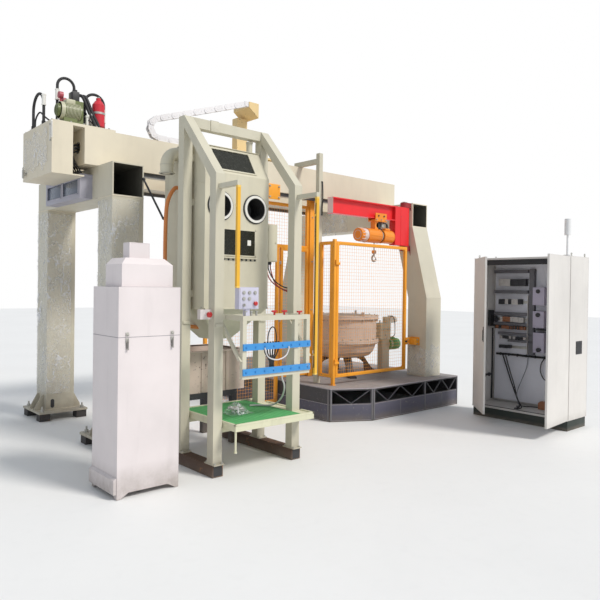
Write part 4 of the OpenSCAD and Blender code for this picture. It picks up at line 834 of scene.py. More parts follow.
cable("duct_hose", [(-1.723, -0.69, 2.52), (-1.77, -0.69, 2.505), (-1.83, -0.69, 2.4), (-1.853, -0.69, 2.253),
    (-1.858, -0.69, 1.85), (-1.846, -0.695, 1.56), (-1.8, -0.715, 1.34), (-1.7, -0.75, 1.24),
    (-1.6, -0.78, 1.215), (-1.54, -0.785, 1.21)], 0.0185, paint("duct_orange", (0.68, 0.24, 0.07), rough=0.5,
    grime=0.45, relief=0.2), slot="hose")

# %% [markdown]
# ## Light curtains and panel
# The light curtains have end caps and a dark lens strip on the sides that face each other. The
# operator panel carries a framed plate with push buttons, a selector and a stop button.

# %% Light curtains and panel
caps, lenses = Batch(), Batch()
for x, low in ((-1.795, 1.59), (-0.925, 0.818)):
    inward = 1 if x < -1.3 else -1
    caps.box((x - 0.0165, -1.7585, low - 0.001), (x + 0.0165, -1.7305, low + 0.012), edge=0.002)
    caps.box((x - 0.0165, -1.7585, 2.398), (x + 0.0165, -1.7305, 2.4155), edge=0.002)
    face = x + inward * 0.015
    lenses.box((min(face, face + inward * 0.0012), -1.7505, low + 0.06), (max(face, face + inward * 0.0012),
        -1.7385, 2.36), edge=0.0004)
    for z in (low + 0.18, 2.25):
        caps.box((x - 0.0185, -1.75, z - 0.01), (x + 0.0185, -1.7305, z + 0.01), edge=0.002)
caps.make("curtain_caps", paint("curtain_pale", (0.84, 0.56, 0.12), rough=0.35, grime=0.2, coat=0.2),
    slot="yellow")
lenses.make("curtain_lenses", paint("lens_dark", (0.03, 0.012, 0.012), rough=0.12, grime=0.1, coat=0.5,
    relief=0.02), slot="window")

face_y = -1.74
plate = Batch()
plate.box((-1.763, face_y - 0.0035, 1.423), (-1.58, face_y + 0.001, 1.589), edge=0.0015)
plate.make("panel_plate", paints["panel"], slot="panel")
buttons = Batch()
for k, (dx, dz) in enumerate(((0.035, 0.128), (0.092, 0.128), (0.149, 0.128), (0.035, 0.078),
        (0.092, 0.078))):
    x, z = -1.763 + dx, 1.423 + dz
    buttons.lathe((x, face_y - 0.003, z), (0, -1, 0), rectangle(0.0115, 0.0155, 0.0, 0.006), 32)
    buttons.rod((x, face_y - 0.003, z), (x, face_y - 0.012, z), 0.0112, 24)
buttons.rod((-1.728, face_y - 0.003, 1.45), (-1.728, face_y - 0.018, 1.45), 0.012, 24)
buttons.box((-1.7305, face_y - 0.026, 1.439), (-1.7255, face_y - 0.016, 1.461), edge=0.001)
for x in (-1.69, -1.632, -1.578):
    buttons.rod((x, -1.72, 1.36), (x, -1.72, 1.392), 0.009, 20)
    buttons.rod((x, -1.72, 1.392), (x, -1.72, 1.4), 0.015, 24)
buttons.make("panel_buttons", paints["zinc"], slot="chain_steel")
stops = Batch()
mushroom = [(0.0, 0.028), (0.016, 0.0275), (0.0235, 0.023), (0.0245, 0.017), (0.0245, 0.008), (0.015, 0.002),
    (0.0, 0.002)]
stops.lathe((-1.886, -1.47, 1.364), (0, -1, 0), mushroom, 40)
stops.lathe((-1.614, face_y - 0.0035, 1.462), (0, -1, 0), [(r * 0.75, h * 0.8) for r, h in mushroom], 32)
for x in (-1.385, -1.275):
    stops.rod((x, -1.72, 1.362), (x, -1.72, 1.385), 0.009, 20)
    stops.box((x - 0.03, -1.728, 1.385), (x + 0.03, -1.712, 1.402), edge=0.005)
stops.rod((-1.1, -1.72, 1.362), (-1.1, -1.72, 1.378), 0.009, 20)
stops.box((-1.128, -1.73, 1.378), (-1.072, -1.71, 1.394), edge=0.005)
stops.make("stop_buttons", paint("stop_red", (0.5, 0.015, 0.015), rough=0.25, grime=0.2, coat=0.4),
    slot="red")

# %% [markdown]
# ## Rack, table and tank trim
# Bolt heads sit along the blue tool bars, foot plates hold the posts on the skids, the table has a green
# ribbed mat inside pale rims, and the tank has a folded rim. A white air hose runs from the rack down to
# the table, a thin one hangs between the bars, a black one arches above, and six leads drop behind.

# %% Rack, table and tank trim
hardware, blue_bolts, channels = Batch(), Batch(), Batch()
for z in (0.8975, 1.1025):
    for k in range(8):
        blue_bolts.bolt((-1.7 + 0.097 * k, -1.752, z), (0, -1, 0), across=0.013, height=0.005)
blue_bolts.make("bar_bolts", paints["blue"], slot="blue")
# Dark sheets in the open front ends of the skids: painted shade for their hollow insides.
for x in (-1.8465, -0.9755):
    channels.box((x + 0.009, -1.5012, 0.009), (x + 0.093, -1.499, 0.092))
channels.make("skid_opening_shade", paints["dark"], slot="dark_steel")
RACK_FEET = [(x, y) for x in (-1.795, -0.925) for y in (-1.445, -0.925)]
for x, y in RACK_FEET:
    for dx in (-0.034, 0.034):
        for dy in (-0.062, 0.062):
            hardware.bolt((x + dx, y + dy, 0.11), (0, 0, 1), across=0.015, height=0.009)
for x, y in ((-1.725, -1.1), (-1.725, -0.5), (-0.995, -1.1), (-0.995, -0.5)):
    hardware.bolt((x, y, 1.404), (0, 0, 1), across=0.01, height=0.006)
hardware.make("station_bolts", paints["zinc"], slot="chain_steel")
plates = Batch()
for x, y in RACK_FEET:
    plates.box((x - 0.05, y - 0.08, 0.1005), (x + 0.05, y + 0.08, 0.11), edge=0.002)
    plates.tube([(x + dx, y + dy, 0.112) for dx, dy in rectangle(-0.046, 0.046, -0.046, 0.046)], 0.004, 6,
        smooth=False)
for x in (-1.84, -0.97):
    for y in (-1.455, -0.935):
        plates.box((x + 0.01, y - 0.045, 1.255), (x + 0.08, y - 0.035, 1.285), edge=0.002)
plates.box((-1.56, -0.978, 3.028), (-1.47, -0.966, 3.13), edge=0.002)
plates.box((-1.56, -0.978, 3.124), (-1.47, -0.872, 3.1305), edge=0.002)
plates.make("foot_plates", paints["grey_green"], slot="grey_green")

mat = Batch()
mat.box((-1.722, -1.652, 0.4495), (-0.98, -0.788, 0.454), edge=0.0015)
for k in range(17):
    x = -1.7 + 0.0437 * k
    mat.box((x - 0.004, -1.646, 0.453), (x + 0.004, -0.794, 0.4565), edge=0.001)
mat.make("table_mat", paints["mat"], slot="table")
rims = Batch()
for low, high in (((-1.742, -1.672), (-0.858, -1.652)), ((-1.742, -0.788), (-0.858, -0.768)),
        ((-1.742, -1.672), (-1.722, -0.768)), ((-0.878, -1.39), (-0.858, -0.98)),
        ((-0.878, -1.672), (-0.858, -1.5))):
    rims.box((*low, 0.444), (*high, 0.462), edge=0.003)
rims.rod((-1.728, -1.655, 0.402), (-1.728, -1.655, 0.23), 0.009, 20)
rims.rod((-1.728, -1.655, 0.232), (-1.728, -1.655, 0.222), 0.014, 6)
rims.make("table_rims", paints["table"], slot="table")

tank = Batch()
for low, high in (((-1.63, -0.655), (-0.88, -0.632)), ((-1.63, -0.048), (-0.88, -0.025)),
        ((-1.63, -0.655), (-1.607, -0.025)), ((-0.903, -0.655), (-0.88, -0.025))):
    tank.box((*low, 0.944), (*high, 0.9625), edge=0.003)
for x in (-1.4, -1.11):
    tank.box((x - 0.02, -0.65, 0.556), (x + 0.02, -0.639, 0.944), edge=0.003)
tank.rod((-1.26, -0.64, 0.6), (-1.26, -0.69, 0.6), 0.018, 24)
tank.rod((-1.26, -0.69, 0.6), (-1.26, -0.7, 0.6), 0.026, 6)
tank.make("tank_rim", paints["pink"], slot="beige_pink")

white_hose = paint("white_hose", (0.62, 0.6, 0.6), rough=0.4, grime=0.4, relief=0.08)
cable("rack_hose", [(-1.289, -1.72, 0.842), (-1.262, -1.69, 0.8), (-1.179, -1.62, 0.735),
    (-1.081, -1.5, 0.651), (-1.014, -1.38, 0.56), (-0.99, -1.27, 0.492), (-1.01, -1.19, 0.466),
    (-1.07, -1.12, 0.464), (-1.15, -1.08, 0.4635)], 0.008, white_hose, slot="ring_white")
cable("rack_hoop", [(-1.518, -1.764, 1.092), (-1.512, -1.768, 1.06), (-1.48, -1.77, 1.01),
    (-1.39, -1.772, 0.985), (-1.298, -1.77, 1.01), (-1.262, -1.768, 1.06), (-1.254, -1.764, 1.092)], 0.006,
    white_hose, slot="ring_white")
cable("rack_arch", [(-1.459, -1.728, 1.105), (-1.452, -1.722, 1.187), (-1.431, -1.722, 1.242),
    (-1.403, -1.722, 1.261), (-1.375, -1.722, 1.24), (-1.362, -1.722, 1.189), (-1.361, -1.728, 1.105)], 0.005)
leads = Batch()
for k in range(6):
    leads.rod((-1.478 + 0.03 * k, -1.712, 1.135), (-1.478 + 0.03 * k, -1.712, 1.116), 0.009, 12)
leads.make("lead_sockets", paints["dark"], slot="dark_steel")
for k in range(6):
    x = -1.478 + 0.03 * k
    cable("rack_lead_%d" % k, [(x, -1.712, 1.117), (x + 0.004 - 0.002 * k, -1.708, 1.05),
        (-1.412 + 0.008 * k, -1.7, 0.96), (-1.42 + 0.012 * k, -1.696, 0.88), (-1.425 + 0.014 * k, -1.69,
        0.842)], 0.006, segments=8)
rod = Batch()
rod.rod((-1.78, -0.112, 2.656), (-1.731, -0.413, 2.257), 0.01, 16)
rod.rod((-1.733, -0.413, 2.257), (-1.715, -0.44, 2.24), 0.014, 16)
rod.rod((-1.78, -0.112, 2.656), (-1.78, -0.1, 2.672), 0.016, 16)
rod.make("stay_rod", paints["dark"], slot="dark_steel")

# %% [markdown]
# ## Dust collector
# The collector is folded from sheet. A hood line runs round the body, two toggle latches hold the hood
# on the front, and a low skirt stands proud of the left side. Corner beads catch the light, and blind
# rivets hold the fan box on top.

# %% Dust collector
DX0, DX1, DY0, DY1, DTOP = -2.69, -2.17, -1.496, -1.051, 1.585
seams = Batch()
for low, high in (((DX0 - 0.001, DY0 - 0.001), (DX1 + 0.001, DY0 + 0.002)), ((DX0 - 0.001, DY1 - 0.002),
        (DX1 + 0.001, DY1 + 0.001)), ((DX0 - 0.001, DY0), (DX0 + 0.002, DY1)),
        ((DX1 - 0.002, DY0), (DX1 + 0.001, DY1))):
    seams.box((*low, 1.2068), (*high, 1.2112))
seams.box((-2.641, -1.453, 1.5845), (-2.219, -1.45, 1.5885))
seams.box((-2.6475, -1.452, 1.5845), (-2.644, -1.172, 1.5885))
seams.make("collector_seams", paint("seam_grey", (0.33, 0.31, 0.33), rough=0.6, grime=0.4), slot="white")
beads = Batch()
for x, y in ((DX0, DY0), (DX1, DY0), (DX0, DY1), (DX1, DY1)):
    dx, dy = (0.0016 if x < -2.4 else -0.0016), (0.0016 if y < -1.3 else -0.0016)
    for z0, z1 in ((0.042, 1.2065), (1.2115, DTOP)):
        beads.rod((x + dx, y + dy, z0), (x + dx, y + dy, z1), 0.003, 12)
for y in (DY0 + 0.002, DY1 - 0.002):
    beads.rod((DX0 + 0.002, y, DTOP - 0.001), (DX1 - 0.002, y, DTOP - 0.001), 0.0028, 12)
for x in (DX0 + 0.002, DX1 - 0.002):
    beads.rod((x, DY0 + 0.002, DTOP - 0.001), (x, DY1 - 0.002, DTOP - 0.001), 0.0028, 12)
for k in range(7):
    beads.rod((-2.61 + 0.06 * k, -1.451, 1.604), (-2.61 + 0.06 * k, -1.4525, 1.604), 0.0032, 12)
for k in range(5):
    beads.rod((-2.645, -1.425 + 0.058 * k, 1.604), (-2.6465, -1.425 + 0.058 * k, 1.604), 0.0032, 12)
beads.plate([(DX0 - 0.001, -1.492, 0.04), (DX0 - 0.024, -1.49, 0.04), (DX0 - 0.024, -1.49, 0.148),
    (DX0 - 0.001, -1.492, 0.165)], 0.44, (0, 1, 0))
beads.box((-2.541, -1.3575, 1.8105), (-2.531, -1.355, 1.9295), edge=0.001)
beads.box((-2.372, -1.3575, 1.8105), (-2.369, -1.355, 1.9295), edge=0.0008)
beads.box((-2.5415, -1.3575, 1.9265), (-2.3695, -1.249, 1.9315), edge=0.002)
beads.make("collector_edges", paints["white"], slot="white")

latches, levers = Batch(), Batch()
for x in (-2.6205, -2.241):
    for half, y0, z0, y1, z1, edge in ((0.012, 0.003, 1.15, -0.001, 1.2, 0.001), (0.012, 0.003, 1.22, -0.001,
            1.246, 0.001), (0.01, 0.01, 1.226, 0.002, 1.231, 0.001), (0.01, 0.011, 1.226, 0.0085, 1.239,
            0.0008)):
        latches.box((x - half, DY0 - y0, z0), (x + half, DY0 - y1, z1), edge=edge)
    for side in (-1, 1):
        latches.rod((x + side * 0.0095, DY0 - 0.008, 1.174), (x + side * 0.0095, DY0 - 0.0125, 1.231), 0.0017,
            10)
    latches.rod((x - 0.01, DY0 - 0.0125, 1.231), (x + 0.01, DY0 - 0.0125, 1.231), 0.0017, 10)
    latches.rod((x - 0.013, DY0 - 0.0065, 1.174), (x + 0.013, DY0 - 0.0065, 1.174), 0.003, 14)
    for z in (1.156, 1.1935, 1.2405):
        latches.rod((x, DY0 - 0.003, z), (x, DY0 - 0.0045, z), 0.0028, 12)
    levers.plate([(x - 0.0085, DY0 - dy, z) for dy, z in ((0.0045, 1.186), (0.011, 1.178), (0.011, 1.125),
        (0.019, 1.115), (0.016, 1.114), (0.007, 1.124), (0.0045, 1.17))], 0.017, (1, 0, 0))
latches.make("collector_latches", paints["zinc"], slot="chain_steel")
levers.make("latch_levers", paint("lever_steel", (0.2, 0.19, 0.18), rough=0.38, metal=0.6, grime=0.4),
    slot="chain_steel")

# %% [markdown]
# ## Platform
# A pale nosing edges the deck, plate joints and countersunk screws mark it, and the closed band below
# the windows carries a bluish sheet between upright posts.

# %% Platform
PX0, PX1, PF = 0.431, 2.67, -0.83
corner_a, corner_b = Vector((PX0, -0.569, 0.0)), Vector((0.907, PF, 0.0))
corner_dir = (corner_b - corner_a).normalized()
corner_turn = Matrix((corner_dir, Vector((-corner_dir.y, corner_dir.x, 0.0)), Vector((0, 0, 1)))).transposed()
corner_out = Vector((corner_dir.y, -corner_dir.x, 0.0))
corner_len = (corner_b - corner_a).length


def wall_strip(batch, z0, z1, thick, inset=0.0):
    """One strip along the left wall, the slanting corner and the front wall of the platform."""
    batch.box((PX0 - thick, -0.567 + inset, z0), (PX0 + 0.001, 2.404 - inset, z1), edge=0.001)
    batch.box((0.908 + inset, PF - thick, z0), (PX1 - 0.001 - inset, PF + 0.001, z1), edge=0.001)
    middle = (corner_a + corner_b) / 2 + corner_out * (thick / 2 - 0.0005) + Vector((0, 0, (z0 + z1) / 2))
    batch.turned_box(middle, (corner_len - 2 * inset, thick + 0.001, z1 - z0), corner_turn, 0.001)


skin = Batch()
wall_strip(skin, 0.016, 0.2, 0.0025, inset=0.012)
skin.make("platform_skin", paint("skin_blue_grey", (0.088, 0.085, 0.118), rough=0.5, grime=0.5, chips=0.3,
    under=(0.24, 0.22, 0.2), foot=0.1), slot="dark_steel")
lines = Batch()
wall_strip(lines, 0.386, 0.3975, 0.004)
wall_strip(lines, 0.201, 0.206, 0.0035, inset=0.004)
wall_strip(lines, 0.01, 0.015, 0.0035, inset=0.004)
lines.make("platform_nosing", paint("nosing_lilac", (0.36, 0.33, 0.35), rough=0.45, grime=0.5, chips=0.3),
    slot="deck")
posts = Batch()
for x in (0.912, 1.915, 2.643):
    posts.box((x, PF - 0.006, 0.01), (x + 0.022, PF + 0.001, 0.386), edge=0.002)
for x in (1.423, 2.294):
    posts.box((x - 0.006, PF - 0.0045, 0.016), (x + 0.006, PF + 0.001, 0.201), edge=0.0015)
for along in (0.012, corner_len - 0.014):
    posts.turned_box(corner_a + corner_dir * along + corner_out * 0.0025 + Vector((0, 0, 0.198)),
        (0.02, 0.007, 0.376), corner_turn, 0.002)
for y in (-0.552, 0.42, 1.39, 2.38):
    posts.box((PX0 - 0.006, y, 0.01), (PX0 + 0.001, y + 0.024, 0.386), edge=0.002)
posts.make("platform_posts", paint("post_grey", (0.16, 0.155, 0.165), rough=0.5, grime=0.5, chips=0.4),
    slot="dark_steel")

joints, screws = Batch(), Batch()
for x in (1.06, 1.69, 2.3):
    joints.box((x - 0.0015, -0.826, 0.3968), (x + 0.0015, 2.66, 0.3976))
for y in (0.2, 1.25):
    joints.box((0.436, y - 0.0015, 0.3968), (2.666, y + 0.0015, 0.3976))
joints.make("deck_joints", paints["dark"], slot="dark_steel")
for x in (1.04, 1.08, 1.67, 1.71, 2.28, 2.32):
    for k in range(9):
        screws.rod((x, -0.78 + 0.4 * k, 0.3965), (x, -0.78 + 0.4 * k, 0.3982), 0.0075, 16)
        screws.rod((x, -0.78 + 0.4 * k, 0.3975), (x, -0.78 + 0.4 * k, 0.399), 0.0035, 6)
for k in range(6):
    x, y = 0.47 + 0.02 * (k > 3), -0.5 + 0.55 * k
    screws.rod((x, y, 0.3965), (x, y, 0.3985), 0.0075, 16)
screws.make("deck_screws", paints["zinc"], slot="chain_steel")

# %% [markdown]
# ## Furnace
# The shell is rolled plate: a bolted flange runs round its middle and a stiff rim round its top. The
# mouth has a pale refractory ring with a skin of dull metal inside, and lifting lugs stand on the rim.

# %% Furnace
FX, FY, FR, FTOP, RING = 1.53, 0.31, 0.5, 1.22, 0.845
shell_ring, studs = Batch(), Batch()
for inner, outer, low, high in ((-0.002, 0.0035, RING + 0.004, RING + 0.022), (-0.002, 0.0035, RING + 0.028,
        RING + 0.047), (-0.031, -0.026, 1.06, 1.066), (-0.004, 0.003, FTOP - 0.044, FTOP - 0.034),
        (-0.004, 0.003, FTOP - 0.01, FTOP + 0.001)):
    shell_ring.lathe((FX, FY, 0), (0, 0, 1), rectangle(FR + inner, FR + outer, low, high), 72)
for rib in turns(16, "Z", 0.5):
    spot = Vector((FX, FY, 0)) + rib @ Vector((FR - 0.016, 0, FTOP - 0.062))
    shell_ring.turned_box(spot, (0.03, 0.008, 0.034), rib, 0.002)
for angle in (0.35, 2.45, 4.55):
    rib = Matrix.Rotation(angle, 3, "Z")
    spot = Vector((FX, FY, 0)) + rib @ Vector((FR - 0.045, 0, FTOP + 0.026))
    shell_ring.turned_box(spot, (0.06, 0.014, 0.056), rib, 0.01, 3)
shell_ring.make("furnace_rings", paint("furnace_rim", (0.66, 0.56, 0.49), rough=0.52, grime=0.6, chips=0.4,
    under=(0.2, 0.15, 0.13)), slot="beige_pink")


def on_ring(r, share, z):
    """The spot at a radius and a share of a full turn about the axis of the furnace."""
    return FX + r * math.cos(2 * math.pi * share), FY + r * math.sin(2 * math.pi * share), z


for k in range(24):
    for z, way in ((RING + 0.05, 1), (RING, -1)):
        studs.bolt(on_ring(FR - 0.015, k / 24, z), (0, 0, way), across=0.018, height=0.011)
for k in range(20):
    studs.bolt(on_ring(FR - 0.02, (k + 0.5) / 20, FTOP), (0, 0, 1), across=0.016, height=0.01)
studs.make("furnace_studs", paints["zinc"], slot="chain_steel")

lining = Batch()
lining.lathe((FX, FY, 0), (0, 0, 1), [(FR - 0.16, 1.161), (FR - 0.109, 1.161), (FR - 0.089, 1.218),
    (FR - 0.086, 1.226), (FR - 0.1, 1.229), (FR - 0.14, 1.224), (FR - 0.156, 1.21), (FR - 0.16, 1.161)], 64)
lining.make("furnace_lining", paint("refractory", (0.58, 0.53, 0.47), rough=0.85, grime=0.6, relief=0.9,
    grain=60.0, patch=6.0), slot="beige_pink")
crust = Batch()
rng = random.Random(3)
EDGE_R = FR - 0.157
rings = [[crust.mesh.verts.new((FX, FY, 1.186))]]
for ring in range(1, 9):
    rings.append([crust.mesh.verts.new(on_ring(EDGE_R * ring / 8, i / 40, 1.184 + rng.uniform(-0.004, 0.005)))
        for i in range(40)])
low = [crust.mesh.verts.new(on_ring(EDGE_R, i / 40, 1.161)) for i in range(40)]
for i in range(40):
    k = (i + 1) % 40
    crust.mesh.faces.new((rings[0][0], rings[1][i], rings[1][k]))
    for one, two in zip(rings[1:], rings[2:]):
        crust.mesh.faces.new((one[i], two[i], two[k], one[k]))
    crust.mesh.faces.new((rings[-1][i], low[i], low[k], rings[-1][k]))
crust.mesh.faces.new(list(reversed(low)))
crust.make("metal_skin", paint("dull_metal", (0.34, 0.335, 0.33), rough=0.5, metal=0.55, grime=0.7, chips=0.9,
    under=(0.55, 0.54, 0.52), relief=0.8, grain=70.0, patch=6.0), slot="chain_steel", soft=60.0)

# %% [markdown]
# ## Furnace drive
# The gearbox has a split line with bolts, an oil sight glass and a breather. The lower motor is green
# with cooling fins and a fan cowl, the small one on top is white with a dark end plate.

# %% Furnace drive
gear = Batch()
gear.box((1.998, 0.008, 1.004), (2.217, 0.142, 1.012), edge=0.002)
for x in (2.0, 2.215):
    side = -1 if x < 2.1 else 1
    gear.lathe((x, 0.075 if side > 0 else 0.1, 0.99), (side, 0, 0), rectangle(0.032, 0.05, 0.001, 0.01), 40)
gear.box((2.006, 0.006, 0.8685), (2.209, 0.144, 0.88), edge=0.003)
gear.box((2.056, 0.025, 0.3975), (2.218, 0.125, 0.409), edge=0.003)
for x in (2.07, 2.205):
    gear.plate([(x, 0.029, 0.409), (x, 0.029, 0.47), (x, -0.012, 0.409)], 0.008, (1, 0, 0))
gear.make("gearbox_seams", paints["drive"], slot="drive")
nuts = Batch()
for x in (2.015, 2.06, 2.155, 2.2):
    for z, way in ((1.012, 1), (1.004, -1)):
        nuts.bolt((x, 0.004, z), (0, 0, way), across=0.012, height=0.008, washer=False)
for y in (0.02, 0.13):
    for z in (0.905, 0.97, 1.035, 1.09):
        nuts.bolt((2.215, y, z), (1, 0, 0), across=0.011, height=0.007)
for x in (2.07, 2.203):
    nuts.bolt((x, 0.015, 0.409), (0, 0, 1), across=0.014, height=0.009)
nuts.rod((2.11, 0.012, 0.93), (2.11, 0.003, 0.93), 0.014, 24)
nuts.rod((2.05, 0.075, 1.104), (2.05, 0.075, 1.128), 0.009, 6)
nuts.rod((2.05, 0.075, 1.126), (2.05, 0.075, 1.14), 0.013, 20)
nuts.make("gearbox_bolts", paints["zinc"], slot="chain_steel")
green = Batch()
for rib in turns(20, "X"):
    spot = Vector((2.31, 0.075, 0.79)) + rib @ Vector((0, 0, 0.078))
    green.turned_box(spot, (0.15, 0.004, 0.014), rib, 0.0012)
green.lathe((2.23, 0.075, 0.79), (1, 0, 0), rectangle(0.06, 0.082, -0.016, 0.002), 48)
green.lathe((2.39, 0.075, 0.79), (1, 0, 0), rectangle(0.055, 0.0805, 0.0, 0.038), 48)
green.rod((2.427, 0.075, 0.79), (2.432, 0.075, 0.79), 0.062, 40)
green.box((2.27, 0.04, 0.86), (2.35, 0.11, 0.892), edge=0.005)
green.rod((2.28, 0.075, 0.79), (2.38, 0.075, 0.79), 0.0755, 40)
green.make("drive_motor_green", paint("motor_green_paint", (0.05, 0.3, 0.095), rough=0.4, grime=0.45,
    chips=0.2), slot="motor_green")
small = Batch()
small.rod((2.232, 0.075, 1.145), (2.381, 0.075, 1.145), 0.0462, 40)
small.lathe((2.33, 0.075, 1.145), (1, 0, 0), rectangle(0.044, 0.049, 0.0, 0.006), 40)
small.box((2.25, 0.05, 1.186), (2.31, 0.1, 1.206), edge=0.004)
small.make("small_motor_cover", paints["ring"], slot="ring_white")
small = Batch()
small.rod((2.3805, 0.075, 1.145), (2.384, 0.075, 1.145), 0.036, 40)
small.lathe((2.384, 0.075, 1.145), (1, 0, 0), rectangle(0.012, 0.018, 0.0, 0.003), 32)
small.rod((2.262, 0.049, 1.196), (2.262, 0.04, 1.196), 0.009, 6)
small.make("small_motor_end", paints["dark"], slot="dark_steel")
cable("drive_lead", [(2.262, 0.041, 1.196), (2.262, 0.005, 1.192), (2.264, -0.022, 1.12),
    (2.268, -0.028, 1.0), (2.282, -0.01, 0.93), (2.3, 0.03, 0.905), (2.31, 0.06, 0.894)], 0.0055)

# %% [markdown]
# ## Fence of welded mesh
# The gate, its post with the side panel, and the screen behind are drawn again with rounded tubes and a
# fine welded mesh of thin wire. One function lays the crossing wires, another draws the tube frame.

# %% Fence builders
WIRE, PITCH, TUBE = 0.0012, 0.042, 0.04


def mesh_wires(batch, origin, along, width, height):
    """Crossing wires in an upright plane: origin is the low corner, along the level direction."""
    origin, along = Vector(origin), Vector(along)
    across = Vector((-along.y, along.x, 0.0)) * WIRE
    columns, rows = max(2, round(width / PITCH)), max(2, round(height / PITCH))
    for i in range(1, columns):
        foot = origin + along * (width * i / columns) + across
        batch.rod(foot - Vector((0, 0, 0.004)), foot + Vector((0, 0, height + 0.004)), WIRE, 6)
    for k in range(1, rows):
        start = origin + Vector((0, 0, height * k / rows)) - across
        batch.rod(start - along * 0.004, start + along * (width + 0.004), WIRE, 6)


def tube_frame(batch, origin, along, width, height):
    """Four square tubes with rounded corners round an upright rectangle."""
    origin, along = Vector(origin), Vector(along)
    turn = Matrix((along, Vector((-along.y, along.x, 0.0)), Vector((0, 0, 1)))).transposed()
    for offset in (TUBE / 2, width - TUBE / 2):
        batch.turned_box(origin + along * offset + Vector((0, 0, height / 2)), (TUBE, TUBE, height), turn,
            0.004)
    for rise in (TUBE / 2, height - TUBE / 2):
        batch.turned_box(origin + along * (width / 2) + Vector((0, 0, rise)), (width - 2 * TUBE + 0.002, TUBE
            - 0.001, TUBE), turn, 0.0024)


def hinge_bead(batch, x, y, z, tall):
    batch.tube([(x, y, z + 0.003), (x, y, z + tall - 0.003)], 0.0022, 6, smooth=False)


print("fence builders ready")

# %% [markdown]
# ## Gate
# The leaf swings on two eyes with pins. It carries a small corner plate at the latch side, and it
# replaces the plain leaf of the construction.

# %% Gate
AXIS_X, AXIS_Y = 0.64, -0.434
leaf = Batch()
tube_frame(leaf, (0.665, -0.4, 0.49), (1, 0, 0), 1.365, 1.685)
mesh_wires(leaf, (0.705, -0.4, 0.53), (1, 0, 0), 1.285, 1.605)
for z in (0.69, 1.915):
    leaf.rod((AXIS_X, AXIS_Y, z - 0.0301), (AXIS_X, AXIS_Y, z - 0.0001), 0.009, 28)
    leaf.rod((AXIS_X, AXIS_Y, z - 0.0301), (AXIS_X, AXIS_Y, z + 0.0298), 0.005, 20)
    leaf.box((AXIS_X, AXIS_Y - 0.005, z - 0.0301), (0.704, AXIS_Y + 0.005, z - 0.0001), edge=0.001)
    leaf.box((0.668, AXIS_Y - 0.004, z - 0.03), (0.704, -0.419, z - 0.0002), edge=0.001)
    hinge_bead(leaf, 0.7045, -0.4205, z - 0.03, 0.03)
for x, z in ((0.709, 0.534), (1.986, 0.534), (0.709, 2.131), (1.986, 2.131)):
    leaf.turned_box((x, -0.4, z), (0.016, 0.034, 0.016), Matrix.Rotation(math.radians(45), 3, "Y"), 0.002)
leaf.box((1.996, -0.4235, 0.838), (2.024, -0.419, 0.917), edge=0.002)
gate_leaf = leaf.make("gate_leaf", paints["fence"], body="gate", slot="fence")
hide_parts("gate")
knob = Batch()
knob.rod((2.01, -0.423, 0.878), (2.01, -0.44, 0.878), 0.008, 20)
knob.rod((2.01, -0.439, 0.878), (2.01, -0.452, 0.878), 0.014, 24)
knob.make("gate_knob", paints["dark"], body="gate", slot="dark_steel")

# %% [markdown]
# ## Gate post, side panel and latch
# The post stands on a foot plate with anchors. The side panel joins it to the arm post. On the right a
# latch arm reaches back to the portal leg and ends in a bolted plate.

# %% Gate post, side panel and latch
post = Batch()
post.box((0.62, -0.42, 0.397), (0.66, -0.38, 2.2), edge=0.004)
tube_frame(post, (0.64, -0.381, 0.49), (0, 1, 0), 0.231, 1.685)
mesh_wires(post, (0.64, -0.341, 0.53), (0, 1, 0), 0.151, 1.605)
post.box((0.612, -0.428, 0.3965), (0.668, -0.372, 0.405), edge=0.0015)
for z in (0.69, 1.915):
    post.lathe((AXIS_X, AXIS_Y, z), (0, 0, 1), rectangle(0.0051, 0.009, 0.0, 0.03), 28)
    post.box((0.632, AXIS_Y + 0.0075, z), (0.648, -0.419, z + 0.03), edge=0.001)
    hinge_bead(post, 0.63, -0.4205, z, 0.03)
post.box((2.036, -0.42, 0.83), (2.19, -0.38, 0.925), edge=0.004)
post.box((2.1, -0.525, 0.83), (2.19, -0.4, 0.915), edge=0.004)
post.box((2.1835, -0.532, 0.822), (2.1905, -0.372, 0.933), edge=0.0015)
post_piece = post.make("gate_post_panel", paints["fence"], slot="fence")
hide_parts("gate_posts")
nuts = Batch()
for x in (0.618, 0.662):
    for y in (-0.423, -0.377):
        nuts.bolt((x, y, 0.4045), (0, 0, 1), across=0.008, height=0.006, washer=False)
for z in (0.845, 0.9):
    nuts.bolt((2.145, -0.525, z), (0, -1, 0), across=0.014, height=0.009)
    nuts.bolt((2.07, -0.42, z), (0, -1, 0), across=0.014, height=0.009)
nuts.box((2.04, -0.4235, 0.866), (2.062, -0.4195, 0.89), edge=0.001)
nuts.make("latch_bolts", paints["zinc"], slot="chain_steel")

# %% [markdown]
# ## Screen behind the gate
# Two low panels and one high panel hang between a foot, a hanger under the beam and a strong post.

# %% Screen behind the gate
screen = Batch()
for x, z, width, height in ((-0.72, 0.1, 1.131, 2.02), (0.441, 0.417, 0.489, 1.703),
        (-0.72, 2.119, 1.65, 0.581)):
    tube_frame(screen, (x, 0.405, z), (1, 0, 0), width, height)
    mesh_wires(screen, (x + TUBE, 0.405, z + TUBE), (1, 0, 0), width - 2 * TUBE, height - 2 * TUBE)
screen.box((-0.72, 0.375, 0.0), (-0.66, 0.435, 0.101), edge=0.003)
screen.box((-0.52, 0.375, 2.69), (-0.46, 0.435, 2.802), edge=0.003)
screen.box((0.929, 0.365, 0.397), (1.01, 0.445, 2.802), edge=0.006)
screen.box((0.082, 0.218, 2.702), (0.272, 0.23, 2.892), edge=0.002)
screen.box((0.082, 0.229, 2.752), (0.272, 0.425, 2.7639), edge=0.002)
screen.box((0.142, 0.385, 2.69), (0.182, 0.425, 2.763), edge=0.002)
